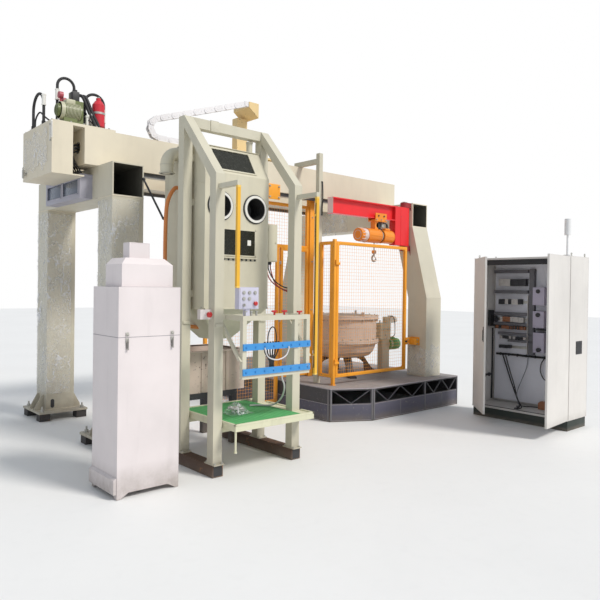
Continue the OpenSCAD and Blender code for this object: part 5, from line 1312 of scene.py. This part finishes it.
for x in (0.112, 0.242):
    screen.plate([(x, 0.2305, 2.752), (x, 0.2305, 2.705), (x, 0.29, 2.752)], 0.008, (1, 0, 0))
screen_piece = screen.make("screen_panels", paints["fence"], slot="fence")
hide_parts("mesh_screen")
clips = Batch()
for z in (0.42, 1.15, 1.9):
    clips.box((0.409, 0.381, z), (0.443, 0.3855, z + 0.04), edge=0.001)
    clips.bolt((0.426, 0.381, z + 0.02), (0, -1, 0), across=0.012, height=0.007)
for z in (0.65, 1.3, 1.95, 2.55):
    clips.bolt((0.969, 0.365, z), (0, -1, 0), across=0.014, height=0.008)
for x in (0.105, 0.25):
    for z in (2.73, 2.865):
        clips.bolt((x, 0.218, z), (0, -1, 0), across=0.018, height=0.011)
clips.make("screen_clips", paints["zinc"], slot="chain_steel")
sign = Batch()
sign.box((-0.415, 0.38, 2.33), (-0.235, 0.3845, 2.52), edge=0.002)
sign.make("screen_plate", paint("plate_pink", (0.62, 0.4, 0.36), rough=0.4, grime=0.2), slot="panel")

# %% [markdown]
# ## Jib
# The arm gets a pale end plate, weld beads along its web, stiff plates round its drop column, gussets and
# caps on the hinge pins. A black lead hangs from two clips on the post beside it.

# %% Jib
arm = Batch()
for y in (-0.2968, -0.2832):
    for z in (2.546, 2.714):
        arm.tube([(0.667, y, z), (1.859, y, z)], 0.0035, 6, smooth=False)
for x0, x1 in ((1.86, 1.872), (1.98, 1.989)):
    arm.box((x0, -0.3435, 2.199), (x1, -0.2365, 2.731), edge=0.002)
for z in (2.1985, 2.727):
    arm.box((1.858, -0.342, z), (2.16, -0.238, z + 0.0045), edge=0.0015)
arm.box((0.664, -0.341, 2.7265), (1.86, -0.239, 2.731), edge=0.0012)
arm.make("jib_trim", paints["jib"], body="jib", slot="jib_red")
# A thin pale pink plate lies over the end face of the arm.
end_plate = Batch()
end_plate.box((0.6638, -0.338, 2.532), (0.6652, -0.242, 2.728))
end_plate.make("jib_end_plate", paint("end_plate_pale_pink", (0.78, 0.58, 0.56), rough=0.45, grime=0.3), body="jib",
    slot="ring_white")
clips = Batch()
for z in (2.93, 2.52):
    clips.box((0.637, -0.159, z - 0.01), (0.659, -0.15, z + 0.01), edge=0.002)
clips.make("post_clips", paints["dark"], slot="dark_steel")
cable("post_lead", [(0.648, -0.16, 2.93), (0.649, -0.164, 2.86), (0.647, -0.169, 2.78), (0.651, -0.164, 2.7),
    (0.647, -0.162, 2.62), (0.648, -0.16, 2.52)], 0.008, segments=10)
hinge = Batch()
for z, way in ((2.801, 1), (2.129, -1)):
    hinge.rod((2.11, -0.29, z), (2.11, -0.29, z + way * 0.01), 0.04, 32)
    hinge.rod((2.11, -0.29, z + way * 0.01), (2.11, -0.29, z + way * 0.018), 0.012, 6)
hinge.make("hinge_caps", paints["zinc"], body="jib", slot="chain_steel")
gussets = Batch()
for z0, z1, z2 in ((2.731, 2.7305, 2.69), (2.1305, 2.13, 2.07)):
    for y in (-0.349, -0.239):
        gussets.plate([(2.19, y, z0), (2.19, y, z2), (2.172, y, z1)], 0.008, (0, 1, 0))
for z in (2.8005, 2.13):
    gussets.lathe((2.11, -0.29, z), (0, 0, 1), rectangle(0.046, 0.054, -0.0008, 0.0022), 40)
gussets.make("hinge_gussets", paints["dark_red"], slot="jib_red")

# %% [markdown]
# ## Hoist
# A pale ribbed cap closes the motor on the left, the drum body is orange with a thin flange on each end,
# and a dark band with a bright clamp divides the two halves. The trolley has wheels, axles, a dark pulley
# block and hoses. Below hang a chain with real links and a hook block.

# %% Hoist
HX, HY, HZ = 1.49, -0.29, 2.3
cap = Batch()
cap.lathe((1.3, HY, HZ), (-1, 0, 0), [(0.0, 0.128), (0.046, 0.129), (0.06, 0.131), (0.074, 0.12),
    (0.0865, 0.06), (0.0885, 0.0), (0.0, 0.0)], 48)
for rib in turns(14, "X"):
    cap.turned_box(Vector((1.218, HY, HZ)) + rib @ Vector((0, 0, 0.086)), (0.07, 0.006, 0.012), rib, 0.0015)
cap.make("hoist_cap", paint("cap_pale", (0.74, 0.62, 0.58), rough=0.4, grime=0.35), body="hoist",
    slot="hoist_orange")
drum = Batch()
for x, r in ((1.302, 0.0975), (1.548, 0.0975), (1.612, 0.0925), (1.8, 0.0925)):
    drum.lathe((x, HY, HZ), (1, 0, 0), rectangle(r - 0.006, r, 0.0, 0.01), 56)
for x0, x1, r in ((1.33, 1.545, 0.0952), (1.625, 1.795, 0.0902)):
    for rib in turns(6, "X", 0.5):
        drum.turned_box(Vector(((x0 + x1) / 2, HY, HZ)) + rib @ Vector((0, 0, r)), (x1 - x0, 0.02, 0.004),
            rib, 0.0015)
drum.rod((1.808, HY, HZ), (1.813, HY, HZ), 0.07, 40)
drum.box((1.66, HY - 0.05, 2.382), (1.76, HY + 0.05, 2.412), edge=0.006)
drum.make("hoist_drum_trim", paints["hoist"], body="hoist", slot="hoist_orange")
band = Batch()
band.lathe((1.585, HY, HZ), (1, 0, 0), rectangle(0.068, 0.076, -0.022, 0.022), 48)
band.box((1.566, HY - 0.042, 2.355), (1.604, HY + 0.042, 2.4), edge=0.004)
band.rod((1.52, HY - 0.04, 2.44), (1.52, HY + 0.04, 2.44), 0.034, 32)
band.box((1.468, HY - 0.0385, 2.4), (1.572, HY + 0.0385, 2.489), edge=0.004)
for x in (1.495, 1.605):
    for side in (-1, 1):
        y = HY + side * 0.0685
        low, high = sorted((y, y + side * 0.009))
        band.rod((x, low, 2.5642), (x, high, 2.5642), 0.011, 20)
        band.rod((x, HY + side * 0.022, 2.5645), (x, HY + side * 0.056, 2.5645), 0.0202, 28)
band.make("hoist_band", paints["dark"], body="hoist", slot="dark_steel")
clamp = Batch()
clamp.lathe((1.585, HY, HZ), (1, 0, 0), rectangle(0.0755, 0.0785, -0.006, 0.006), 48)
for side in (-1, 1):
    for x in (1.46, 1.55, 1.64):
        clamp.bolt((x, HY + side * 0.068, 2.515), (0, side, 0), across=0.013, height=0.008)
clamp.box((1.6, HY - 0.036, 2.42), (1.65, HY + 0.036, 2.4885), edge=0.006)
clamp.make("hoist_clamp", paints["zinc"], body="hoist", slot="chain_steel")
for k, (a, b, c, d) in enumerate(((1.64, 2.486, 1.735, 2.412), (1.61, 2.486, 1.7, 2.412))):
    cable("hoist_lead_%d" % k, [(a, HY - 0.02 - 0.012 * k, b - 0.022), (a + 0.03, HY - 0.024 - 0.014 * k, b
        - 0.006), (c - 0.012, HY - 0.022 - 0.014 * k, b - 0.022), (c, HY - 0.018 - 0.01 * k, d)], 0.0065,
        body="hoist", segments=10)

# %% [markdown]
# ## Load chain and hook
# Each link is a bent wire, turned by a quarter against the next one. The chain is one piece that rides on
# the hoist.

# %% Load chain and hook
links = Batch()
top_z, low_z = 2.2045, 2.1085
count = 5
gap = (top_z - low_z) / count
for k in range(count):
    mid = top_z - gap * (k + 0.5)
    across = Vector((1, 0, 0)) if k % 2 else Vector((0, 1, 0))
    points = []
    for i in range(20):
        angle = 2 * math.pi * i / 20
        swing, rise = 0.0085 * math.cos(angle), 0.0045 * math.sin(angle)
        points.append(Vector((HX, HY, mid + rise + (0.0062 if math.sin(angle) > 0 else -0.0062))) + across
            * swing)
    points.append(points[0])
    links.tube(points, 0.0034, 8, smooth=False)
chain_piece = links.make("load_chain", paints["steel"], body="hoist", slot="chain_steel")
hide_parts("hoist_chain")
block = Batch()
block.box((HX - 0.03, HY - 0.018, 2.068), (HX + 0.03, HY + 0.018, 2.106), edge=0.008, segments=3)
block.rod((HX - 0.032, HY, 2.087), (HX + 0.032, HY, 2.087), 0.015, 28)
block.make("hook_block", paints["hoist"], body="hook", slot="hoist_orange")
catch = Batch()
catch.plate([(HX - 0.004, HY - 0.003, 2.04), (HX + 0.006, HY - 0.003, 2.036), (HX + 0.044, HY - 0.003, 1.998),
    (HX + 0.038, HY - 0.003, 1.992)], 0.006, (0, 1, 0))
catch.rod((HX, HY - 0.009, 2.038), (HX, HY + 0.009, 2.038), 0.0045, 16)
catch.make("hook_catch", paints["zinc"], body="hook", slot="chain_steel")

# %% [markdown]
# ## Cabinet shell
# A dark plinth, a black gasket round the opening, a lit header strip, a seam with hidden hinges, a black
# vent grille on the side and lifting eyes on the roof.

# %% Cabinet shell
plinth = Batch()
for low, high in (((2.2215, -2.5955), (2.2245, -1.3765)), ((2.2215, -2.5955), (2.6825, -2.5925)),
        ((2.2215, -1.3795), (2.6825, -1.3765)), ((2.6795, -2.5955), (2.6825, -1.3765))):
    plinth.box((*low, 0.001), (*high, 0.1175), edge=0.001)
plinth.make("cabinet_plinth", paint("plinth_green", (0.028, 0.036, 0.03), rough=0.5, grime=0.5, foot=0.05),
    slot="dark_steel")
gasket = Batch()
for low, high in (((-2.58, 1.95), (-1.392, 1.976)), ((-2.58, 0.143), (-1.392, 0.15)),
        ((-2.58, 0.143), (-2.57, 1.976)), ((-1.402, 0.143), (-1.392, 1.976))):
    gasket.box((2.2262, *low), (2.231, *high), edge=0.0015)
gasket.box((2.23, -2.57, 1.91), (2.236, -1.402, 1.952), edge=0.001)
gasket.make("cabinet_gasket", paints["rubber"], slot="hose")
trim = Batch()
trim.box((2.2265, -2.6045, 1.979), (2.2305, -1.3675, 2.0005), edge=0.0015)
trim.box((2.2265, -2.6045, 0.118), (2.2305, -1.3675, 0.14), edge=0.0015)
trim.box((2.229, -2.605, 1.996), (2.692, -1.367, 2.001), edge=0.0012)
for y in (-2.6048, -1.3672):
    for x in (2.23, 2.686):
        trim.box((x, y - 0.0006, 0.119), (x + 0.004, y + 0.0006, 1.999))
trim.make("cabinet_trim", paints["cabinet"], slot="cabinet_white")
seam = Batch()
seam.box((2.2306, -2.6046, 0.12), (2.2318, -2.603, 1.995))
seam.make("cabinet_seam", paint("seam_shadow", (0.2, 0.19, 0.2), rough=0.6, grime=0.3), slot="dark_steel")
vent = Batch()
vent.box((2.388, -2.6075, 0.868), (2.544, -2.6035, 1.02), edge=0.003)
for k in range(11):
    z = 0.88 + 0.0125 * k
    vent.turned_box((2.466, -2.6085, z), (0.136, 0.0022, 0.01), Matrix.Rotation(math.radians(-32), 3, "X"),
        0.0005)
vent.make("cabinet_vent", paints["dark"], slot="dark_steel")
eyes = Batch()
for x, y in ((2.335, -2.56), (2.655, -2.57), (2.265, -1.405), (2.655, -1.405)):
    eyes.rod((x, y, 2.0), (x, y, 2.006), 0.015, 28)
    eyes.rod((x, y, 2.005), (x, y, 2.017), 0.0075, 20)
    ring = [(x + 0.0125 * math.cos(2 * math.pi * k / 18), y, 2.0285 + 0.0125 * math.sin(2 * math.pi * k / 18))
        for k in range(19)]
    eyes.tube(ring, 0.0042, 10, smooth=False)
eyes.make("lifting_eyes", paints["zinc"], slot="chain_steel")
light = Batch()
LX, LY = 2.263, -2.544
light.lathe((LX, LY, 2.0), (0, 0, 1), rectangle(0.03, 0.0415, 0.01, 0.0135), 40)
light.make("lamp_rings", paints["lamp"], slot="lamp")

# %% [markdown]
# ## Cabinet doors
# Each leaf has a folded edge, a foam gasket and a stiff channel on its inner face, and a black swing
# handle with a round lock on the outside. They ride on their doors.

# %% Cabinet doors
def leaf_box(batch, axis, along, out, a, d, z, edge=0.001):
    """A box in the frame of a door leaf: a along the leaf, d along the outward normal, z upright."""
    up = Vector((0, 0, 1))
    turn = Matrix((along, up.cross(along), up)).transposed()
    centre = axis + (along * sum(a) + out * sum(d) + up * sum(z)) / 2
    batch.turned_box(centre, (a[1] - a[0], d[1] - d[0], z[1] - z[0]), turn, edge)


def heading(degrees):
    """The level direction at an angle from the x axis."""
    return Vector((math.cos(math.radians(degrees)), math.sin(math.radians(degrees)), 0.0))


for body, axis, along, out in (("near_door", Vector((2.214, -2.593, 0.0)), heading(185), heading(275)),
        ("far_door", Vector((2.214, -1.379, 0.0)), heading(224), heading(134))):
    fold, foam, handle = Batch(), Batch(), Batch()
    low, high, wide = 0.1235, 1.9945, 0.604
    for a, z in (((0.012, wide), (low, low + 0.004)), ((0.012, wide), (high - 0.004, high)),
            ((wide - 0.004, wide), (low, high))):
        leaf_box(fold, axis, along, out, a, (-0.0115, 0.0115), z)
    for a in ((0.09, 0.12), (0.47, 0.5)):
        leaf_box(fold, axis, along, out, a, (-0.019, -0.0105), (0.2, 1.9), edge=0.003)
    for z in ((0.2, 0.23), (1.04, 1.07), (1.87, 1.9)):
        leaf_box(fold, axis, along, out, (0.119, 0.471), (-0.019, -0.0105), z, edge=0.003)
    fold.make(body + "_folds", paints["cabinet"], body=body, slot="cabinet_white")
    for a, z in (((0.04, 0.585), (0.155, 0.165)), ((0.04, 0.585), (1.934, 1.944)),
            ((0.04, 0.05), (0.165, 1.934)), ((0.575, 0.585), (0.165, 1.934))):
        leaf_box(foam, axis, along, out, a, (-0.015, -0.0105), z, edge=0.002)
    foam.make(body + "_foam", paints["rubber"], body=body, slot="hose")
    if body == "far_door":
        leaf_box(handle, axis, along, out, (0.548, 0.58), (0.0105, 0.015), (0.98, 1.16), edge=0.004)
        leaf_box(handle, axis, along, out, (0.556, 0.572), (0.0145, 0.023), (0.995, 1.12), edge=0.005)
    else:
        leaf_box(handle, axis, along, out, (0.56, 0.58), (-0.017, -0.0105), (0.9, 1.2), edge=0.003)
    handle.make(body + "_handle", paints["dark"], body=body, slot="dark_steel")

# %% [markdown]
# ## Switchgear
# The mounting plate carries rows of modules on rails, slotted ducts, three lilac drives and a transformer
# on the floor. Sizes vary a little, with a seeded random, so no two rows look stamped.

# %% Switchgear
FACE = 2.626
rng = random.Random(21)
pale, dark, rails, brown, ducts = Batch(), Batch(), Batch(), Batch(), Batch()


def module_row(batch, y0, y1, z0, z1, deep, pitch, other=None, share=0.0):
    y = y0
    while y - pitch > y1:
        wide = pitch * rng.choice((1, 1, 1, 2))
        if y - wide < y1:
            break
        target = other if other is not None and rng.random() < share else batch
        lift = rng.uniform(-0.003, 0.003)
        target.box((FACE - deep, y - wide + 0.0012, z0 + lift), (FACE - 0.006, y - 0.0012, z1 + lift),
            edge=0.0015)
        target.box((FACE - deep - 0.006, y - wide * 0.75, (z0 + z1) / 2 - 0.008 + lift),
            (FACE - deep + 0.001, y - wide * 0.25, (z0 + z1) / 2 + 0.008 + lift), edge=0.001)
        y -= wide


for y0, y1, z in ((-1.44, -1.89, 1.225), (-1.44, -1.89, 1.12), (-1.5, -1.9, 0.987), (-1.49, -1.89, 0.87),
        (-1.5, -1.89, 1.45), (-2.24, -2.52, 1.23), (-2.24, -2.52, 0.99), (-1.5, -1.89, 1.7)):
    rails.box((FACE - 0.007, y1, z - 0.017), (FACE + 0.0005, y0, z + 0.017), edge=0.001)
module_row(dark, -1.436, -1.505, 1.195, 1.258, 0.05, 0.018, pale, 0.4)
module_row(pale, -1.53, -1.88, 1.192, 1.256, 0.062, 0.036, brown, 0.2)
module_row(dark, -1.445, -1.888, 1.098, 1.142, 0.045, 0.011, brown, 0.45)
module_row(pale, -1.52, -1.89, 0.97, 1.006, 0.04, 0.018, dark, 0.5)
module_row(dark, -1.51, -1.72, 0.85, 0.892, 0.048, 0.024, pale, 0.15)
module_row(dark, -1.51, -1.89, 1.42, 1.486, 0.07, 0.045, pale, 0.3)
module_row(pale, -1.51, -1.89, 1.655, 1.745, 0.075, 0.054, dark, 0.5)
module_row(dark, -2.25, -2.51, 1.19, 1.27, 0.08, 0.045, pale, 0.25)
module_row(pale, -2.25, -2.51, 0.955, 1.025, 0.07, 0.036, dark, 0.4)
for y0, y1, z0, z1 in ((-1.436, -1.9, 1.276, 1.316), (-1.436, -1.9, 1.152, 1.18), (-1.5, -1.96, 1.028, 1.056),
        (-1.64, -2.0, 0.938, 0.964), (-1.436, -1.9, 1.56, 1.6), (-1.436, -1.9, 1.82, 1.86),
        (-2.21, -2.53, 1.09, 1.13), (-2.21, -2.53, 0.86, 0.9)):
    ducts.box((FACE - 0.055, y1, z0), (FACE + 0.0005, y0, z1), edge=0.002)
    for k in range(int((y0 - y1) / 0.02)):
        ducts.box((FACE - 0.0565, y0 - 0.016 - 0.02 * k, z0 - 0.0012), (FACE - 0.045, y0 - 0.006 - 0.02 * k,
            z1 + 0.0012))
for y0, y1 in ((-1.99, -1.925), (-2.205, -2.165)):
    ducts.box((FACE - 0.055, y0, 0.79), (FACE + 0.0005, y1, 1.87), edge=0.002)
for k in range(52):
    ducts.box((FACE - 0.0565, -1.9915, 0.8 + 0.02 * k), (FACE - 0.045, -1.9235, 0.81 + 0.02 * k))
lilac = Batch()
for deep, y0, z0, y1, z1 in ((0.12, -2.155, 1.14, -2.01, 1.345), (0.11, -2.155, 0.832, -2.012, 1.082),
        (0.13, -2.16, 1.42, -2.01, 1.64)):
    lilac.box((FACE - deep, y0, z0), (FACE + 0.0005, y1, z1), edge=0.004)
lilac.make("drive_boxes", paint("drive_lilac", (0.5, 0.46, 0.57), rough=0.4, grime=0.2), slot="panel")
for y, z in ((-2.094, 0.87), (-2.082, 1.3), (-2.082, 1.59)):
    dark.rod((FACE - 0.108, y, z), (FACE - 0.142, y, z), 0.026, 32)
    dark.box((FACE - 0.146, y - 0.004, z - 0.022), (FACE - 0.136, y + 0.004, z + 0.022), edge=0.001)
dark.box((FACE - 0.124, -2.15, 1.108), (FACE + 0.0005, -2.01, 1.122), edge=0.002)
pale.box((FACE - 0.06, -1.912, 0.795), (FACE + 0.0005, -1.906, 1.54), edge=0.001)
pale.make("modules_pale", paint("module_pale", (0.62, 0.58, 0.55), rough=0.4, grime=0.3), slot="ring_white")
dark.make("modules_dark", paint("module_dark", (0.045, 0.045, 0.05), rough=0.45, grime=0.3),
    slot="dark_steel")
rails.make("din_rails", paints["zinc"], slot="chain_steel")
ducts.make("wire_ducts", paint("duct_grey", (0.17, 0.165, 0.18), rough=0.55, grime=0.3), slot="dark_steel")
brown.box((2.5, -2.19, 0.1432), (2.59, -2.1, 0.225), edge=0.004)
brown.box((2.512, -2.178, 0.224), (2.578, -2.112, 0.238), edge=0.003)
brown.make("modules_copper", paint("module_copper", (0.36, 0.15, 0.075), rough=0.45, grime=0.4), slot="drive")
side = Batch()
side.box((2.5, -1.429, 1.13), (2.6, -1.3925, 1.335), edge=0.004)
side.box((2.3, -1.412, 0.48), (2.6, -1.3925, 0.505), edge=0.004)
for x in (2.33, 2.43, 2.53):
    side.box((x, -1.416, 0.47), (x + 0.012, -1.3925, 0.515), edge=0.002)
side.make("side_fittings", paints["dark"], slot="dark_steel")

# %% [markdown]
# ## Cabinet wiring
# Black leads run in a bundle under the ducts, drop across the plate to the floor and end inside the sill.

# %% Cabinet wiring
loom = Batch()
for k in range(7):
    angle = 2 * math.pi * k / 6
    dx, dz = (0.0, 0.0) if k == 6 else (0.009 * math.cos(angle), 0.009 * math.sin(angle))
    loom.tube([(FACE - 0.014 - dx, y, z + dz) for y, z in ((-1.46, 0.768), (-1.7, 0.772), (-1.95, 0.768),
        (-2.2, 0.771))], 0.005, 8)
for y in (-1.52, -1.64, -1.76, -1.88, -2.0, -2.12):
    loom.box((FACE - 0.03, y - 0.004, 0.752), (FACE + 0.0005, y + 0.004, 0.787), edge=0.001)
for k in range(5):
    loom.tube([(2.6 - 0.008 * (k % 2), -1.401 - 0.006 * (k // 2), 0.17), (2.601, -1.402 - 0.006 * (k // 2),
        0.6), (2.6, -1.401 - 0.006 * (k // 2), 1.1)], 0.0045, 8)
loom.make("cabinet_loom", paints["rubber"], slot="hose")
cable("cabinet_lead_a", [(2.6, -1.56, 0.76), (2.59, -1.61, 0.64), (2.54, -1.72, 0.43), (2.44, -1.85, 0.27),
    (2.34, -1.95, 0.19), (2.285, -1.95, 0.165), (2.255, -1.925, 0.1565)], 0.0085)
cable("cabinet_lead_b", [(2.6, -1.6, 0.755), (2.585, -1.66, 0.6), (2.52, -1.77, 0.4), (2.42, -1.88, 0.24),
    (2.335, -1.975, 0.175), (2.285, -1.978, 0.16), (2.255, -1.955, 0.1545)], 0.0065)
grey_lead = paint("lead_grey", (0.22, 0.22, 0.24), rough=0.5, grime=0.2)
cable("cabinet_lead_c", [(2.6, -1.91, 0.756), (2.59, -1.895, 0.62), (2.545, -1.85, 0.45), (2.47, -1.84, 0.32),
    (2.4, -1.89, 0.22), (2.36, -1.93, 0.153)], 0.005, grey_lead)
cable("cabinet_lead_d", [(2.42, -1.86, 0.153), (2.45, -1.905, 0.16), (2.49, -1.98, 0.158),
    (2.515, -2.05, 0.16), (2.53, -2.099, 0.16)], 0.0065)
cable("cabinet_lead_e", [(2.6, -2.12, 0.756), (2.585, -2.09, 0.69), (2.58, -2.085, 0.6), (2.585, -2.12, 0.52),
    (2.6, -2.17, 0.48), (2.625, -2.19, 0.47)], 0.006)

# %% [markdown]
# ## Plastic film
# Thin clear film from the transport still clings to the left columns, a right leg, the right cross tube
# and the end of the oil tank. Each sheet is one surface laid round the corners of the piece. Folds come
# from layered noise: tight
# diagonal creases near the corners, loose waves on the free edges.

# %% Plastic film
from mathutils import noise as fold_noise

film_paint = cling_film("clear_film", (0.93, 0.94, 0.96))
FILM_THICK = 0.0003
CELL = 0.016
CORNER_REACH = 0.012


def crease(spot, seed, loose):
    """How far the film stands off at a spot, in metres."""
    tilt = Vector((spot.x * 3.0 + spot.z * 1.6, spot.y * 3.0 - spot.z * 1.1, spot.z * 0.9 + seed))
    ridge = 1.0 - abs(fold_noise.noise(tilt * 2.6)) * 2.0
    fine = 1.0 - abs(fold_noise.noise(tilt * 7.5 + Vector((3.1, 0.7, seed)))) * 2.0
    return 0.0035 + 0.006 * loose * max(0.0, ridge) ** 2 + 0.0024 * max(0.0, fine) ** 3


def weave(mesh, grid):
    """Joins a grid of vertices with four-sided faces."""
    for one, two in zip(grid, grid[1:]):
        for j in range(len(one) - 1):
            mesh.faces.new((one[j], two[j], two[j + 1], one[j + 1]))


def finish_sheet(name, mesh):
    """The mesh becomes one smooth sheet of film with a real thickness. Returns it with its area."""
    area = sum(face.calc_area() for face in mesh.faces)
    data = bpy.data.meshes.new(name)
    mesh.to_mesh(data)
    mesh.free()
    data.materials.append(film_paint)
    for polygon in data.polygons:
        polygon.use_smooth = True
    made = place_object(name, data)
    thick = made.modifiers.new("thickness", "SOLIDIFY")
    thick.thickness = FILM_THICK
    thick.offset = 1.0
    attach(made, "frame")
    print(name, len(data.polygons) * 4, "triangles", round(area, 3), "m2")
    return made, area


def film(name, corners, low, high, seed, loose=1.0, ragged=0.05):
    """One sheet of film along a line in plan, from low to high, with creases pushed outwards."""
    corners = [Vector((x, y, 0.0)) for x, y in corners]
    runs = [(b - a).length for a, b in zip(corners, corners[1:])]
    total = sum(runs)
    columns = max(8, round(total / CELL))
    rows = max(8, round((high - low) / (CELL * 1.5)))
    sheet = bmesh.new()
    grid = []
    for i in range(columns + 1):
        reach, k = total * i / columns, 0
        while k < len(runs) - 1 and reach > runs[k]:
            reach -= runs[k]
            k += 1
        heading = (corners[k + 1] - corners[k]).normalized()
        outward = Vector((heading.y, -heading.x, 0.0))
        if k < len(runs) - 1 and runs[k] - reach < CORNER_REACH:
            turn_to = (corners[k + 2] - corners[k + 1]).normalized()
            outward = (outward + Vector((turn_to.y, -turn_to.x, 0.0))).normalized()
        if k > 0 and reach < CORNER_REACH:
            turn_from = (corners[k] - corners[k - 1]).normalized()
            outward = (outward + Vector((turn_from.y, -turn_from.x, 0.0))).normalized()
        foot = corners[k] + heading * reach
        edge_up = ragged * fold_noise.noise(Vector((i * 0.21, seed, 0.0)))
        edge_low = ragged * fold_noise.noise(Vector((i * 0.17, 4.0, seed)))
        column = []
        for j in range(rows + 1):
            share = j / rows
            z = (low + edge_low) * (1 - share) + (high + edge_up) * share
            spot = Vector((foot.x, foot.y, z))
            free = 1.0 + 1.2 * max(0.0, 1.0 - min(i, columns - i) / 4.0)
            column.append(sheet.verts.new(spot + outward * crease(spot, seed, loose * free)))
        grid.append(column)
    weave(sheet, grid)
    bmesh.ops.recalc_face_normals(sheet, faces=sheet.faces)
    made, area = finish_sheet(name, sheet)


film("film_front_column", [(-1.83, -0.107), (-2.11, -0.107), (-2.11, 0.208), (-1.95, 0.208)][::-1], 0.3, 2.44,
    1.3, ragged=0.025)
film("film_rear_column", [(-1.83, 1.629), (-2.11, 1.629), (-2.11, 1.944), (-1.95, 1.944)][::-1], 0.3, 2.44,
    7.9, loose=1.2, ragged=0.025)
film("film_tank_end", [(-2.572, 1.02), (-2.572, 0.33)], 2.76, 3.11, 4.4, loose=1.1,
    ragged=0.09)
film("film_right_leg", [(2.19, -0.35), (2.19, -0.637), (2.48, -0.637)], 0.415, 0.8, 9.2, loose=1.5,
    ragged=0.08)

film("film_right_tube", [(2.19, 1.58), (2.19, 0.88)], 2.44, 2.795, 5.6, loose=2.6,
    ragged=0.03)

# %% [markdown]
# ## Bag on the table
# A crumpled clear bag with a few steel fittings in it lies on the mat. It is one sheet that rises into
# soft peaks.

# %% Bag on the table
bag = bmesh.new()
cells = 26
grid = []
for i in range(cells + 1):
    row = []
    for j in range(cells + 1):
        a, b = i / cells - 0.5, j / cells - 0.5
        swell = max(0.0, 1.0 - (2.0 * math.hypot(a, b)) ** 2)
        rough = fold_noise.noise(Vector((a * 5.0, b * 5.0, 2.0)))
        peak = 1.0 - abs(fold_noise.noise(Vector((a * 8.0, b * 8.0, 6.0)))) * 2.0
        shrink = 0.9 + 0.05 * rough
        row.append(bag.verts.new((-1.43 + a * 0.27 * shrink + 0.004 * rough, -1.25 + b * 0.25 * shrink, 0.459
            + swell * (0.074 + 0.03 * rough + 0.02 * max(0.0, peak) ** 2))))
    grid.append(row)
weave(bag, grid)
fittings = Batch()
parts = random.Random(5)
for k in range(9):
    x, y = -1.43 + parts.uniform(-0.06, 0.06), -1.25 + parts.uniform(-0.055, 0.055)
    heading = parts.uniform(0, math.pi)
    dx, dy, z = 0.03 * math.cos(heading), 0.03 * math.sin(heading), 0.472 + parts.uniform(0.0, 0.022)
    fittings.rod((x - dx, y - dy, z), (x + dx, y + dy, z + 0.006), 0.012, 20)
    fittings.rod((x - dx, y - dy, z), (x - dx * 0.6, y - dy * 0.6, z), 0.016, 6)
fittings.make("bag_fittings", paints["zinc"], slot="chain_steel")
clear_bag, area = finish_sheet("clear_bag", bag)

# %% Finish
print("finished")
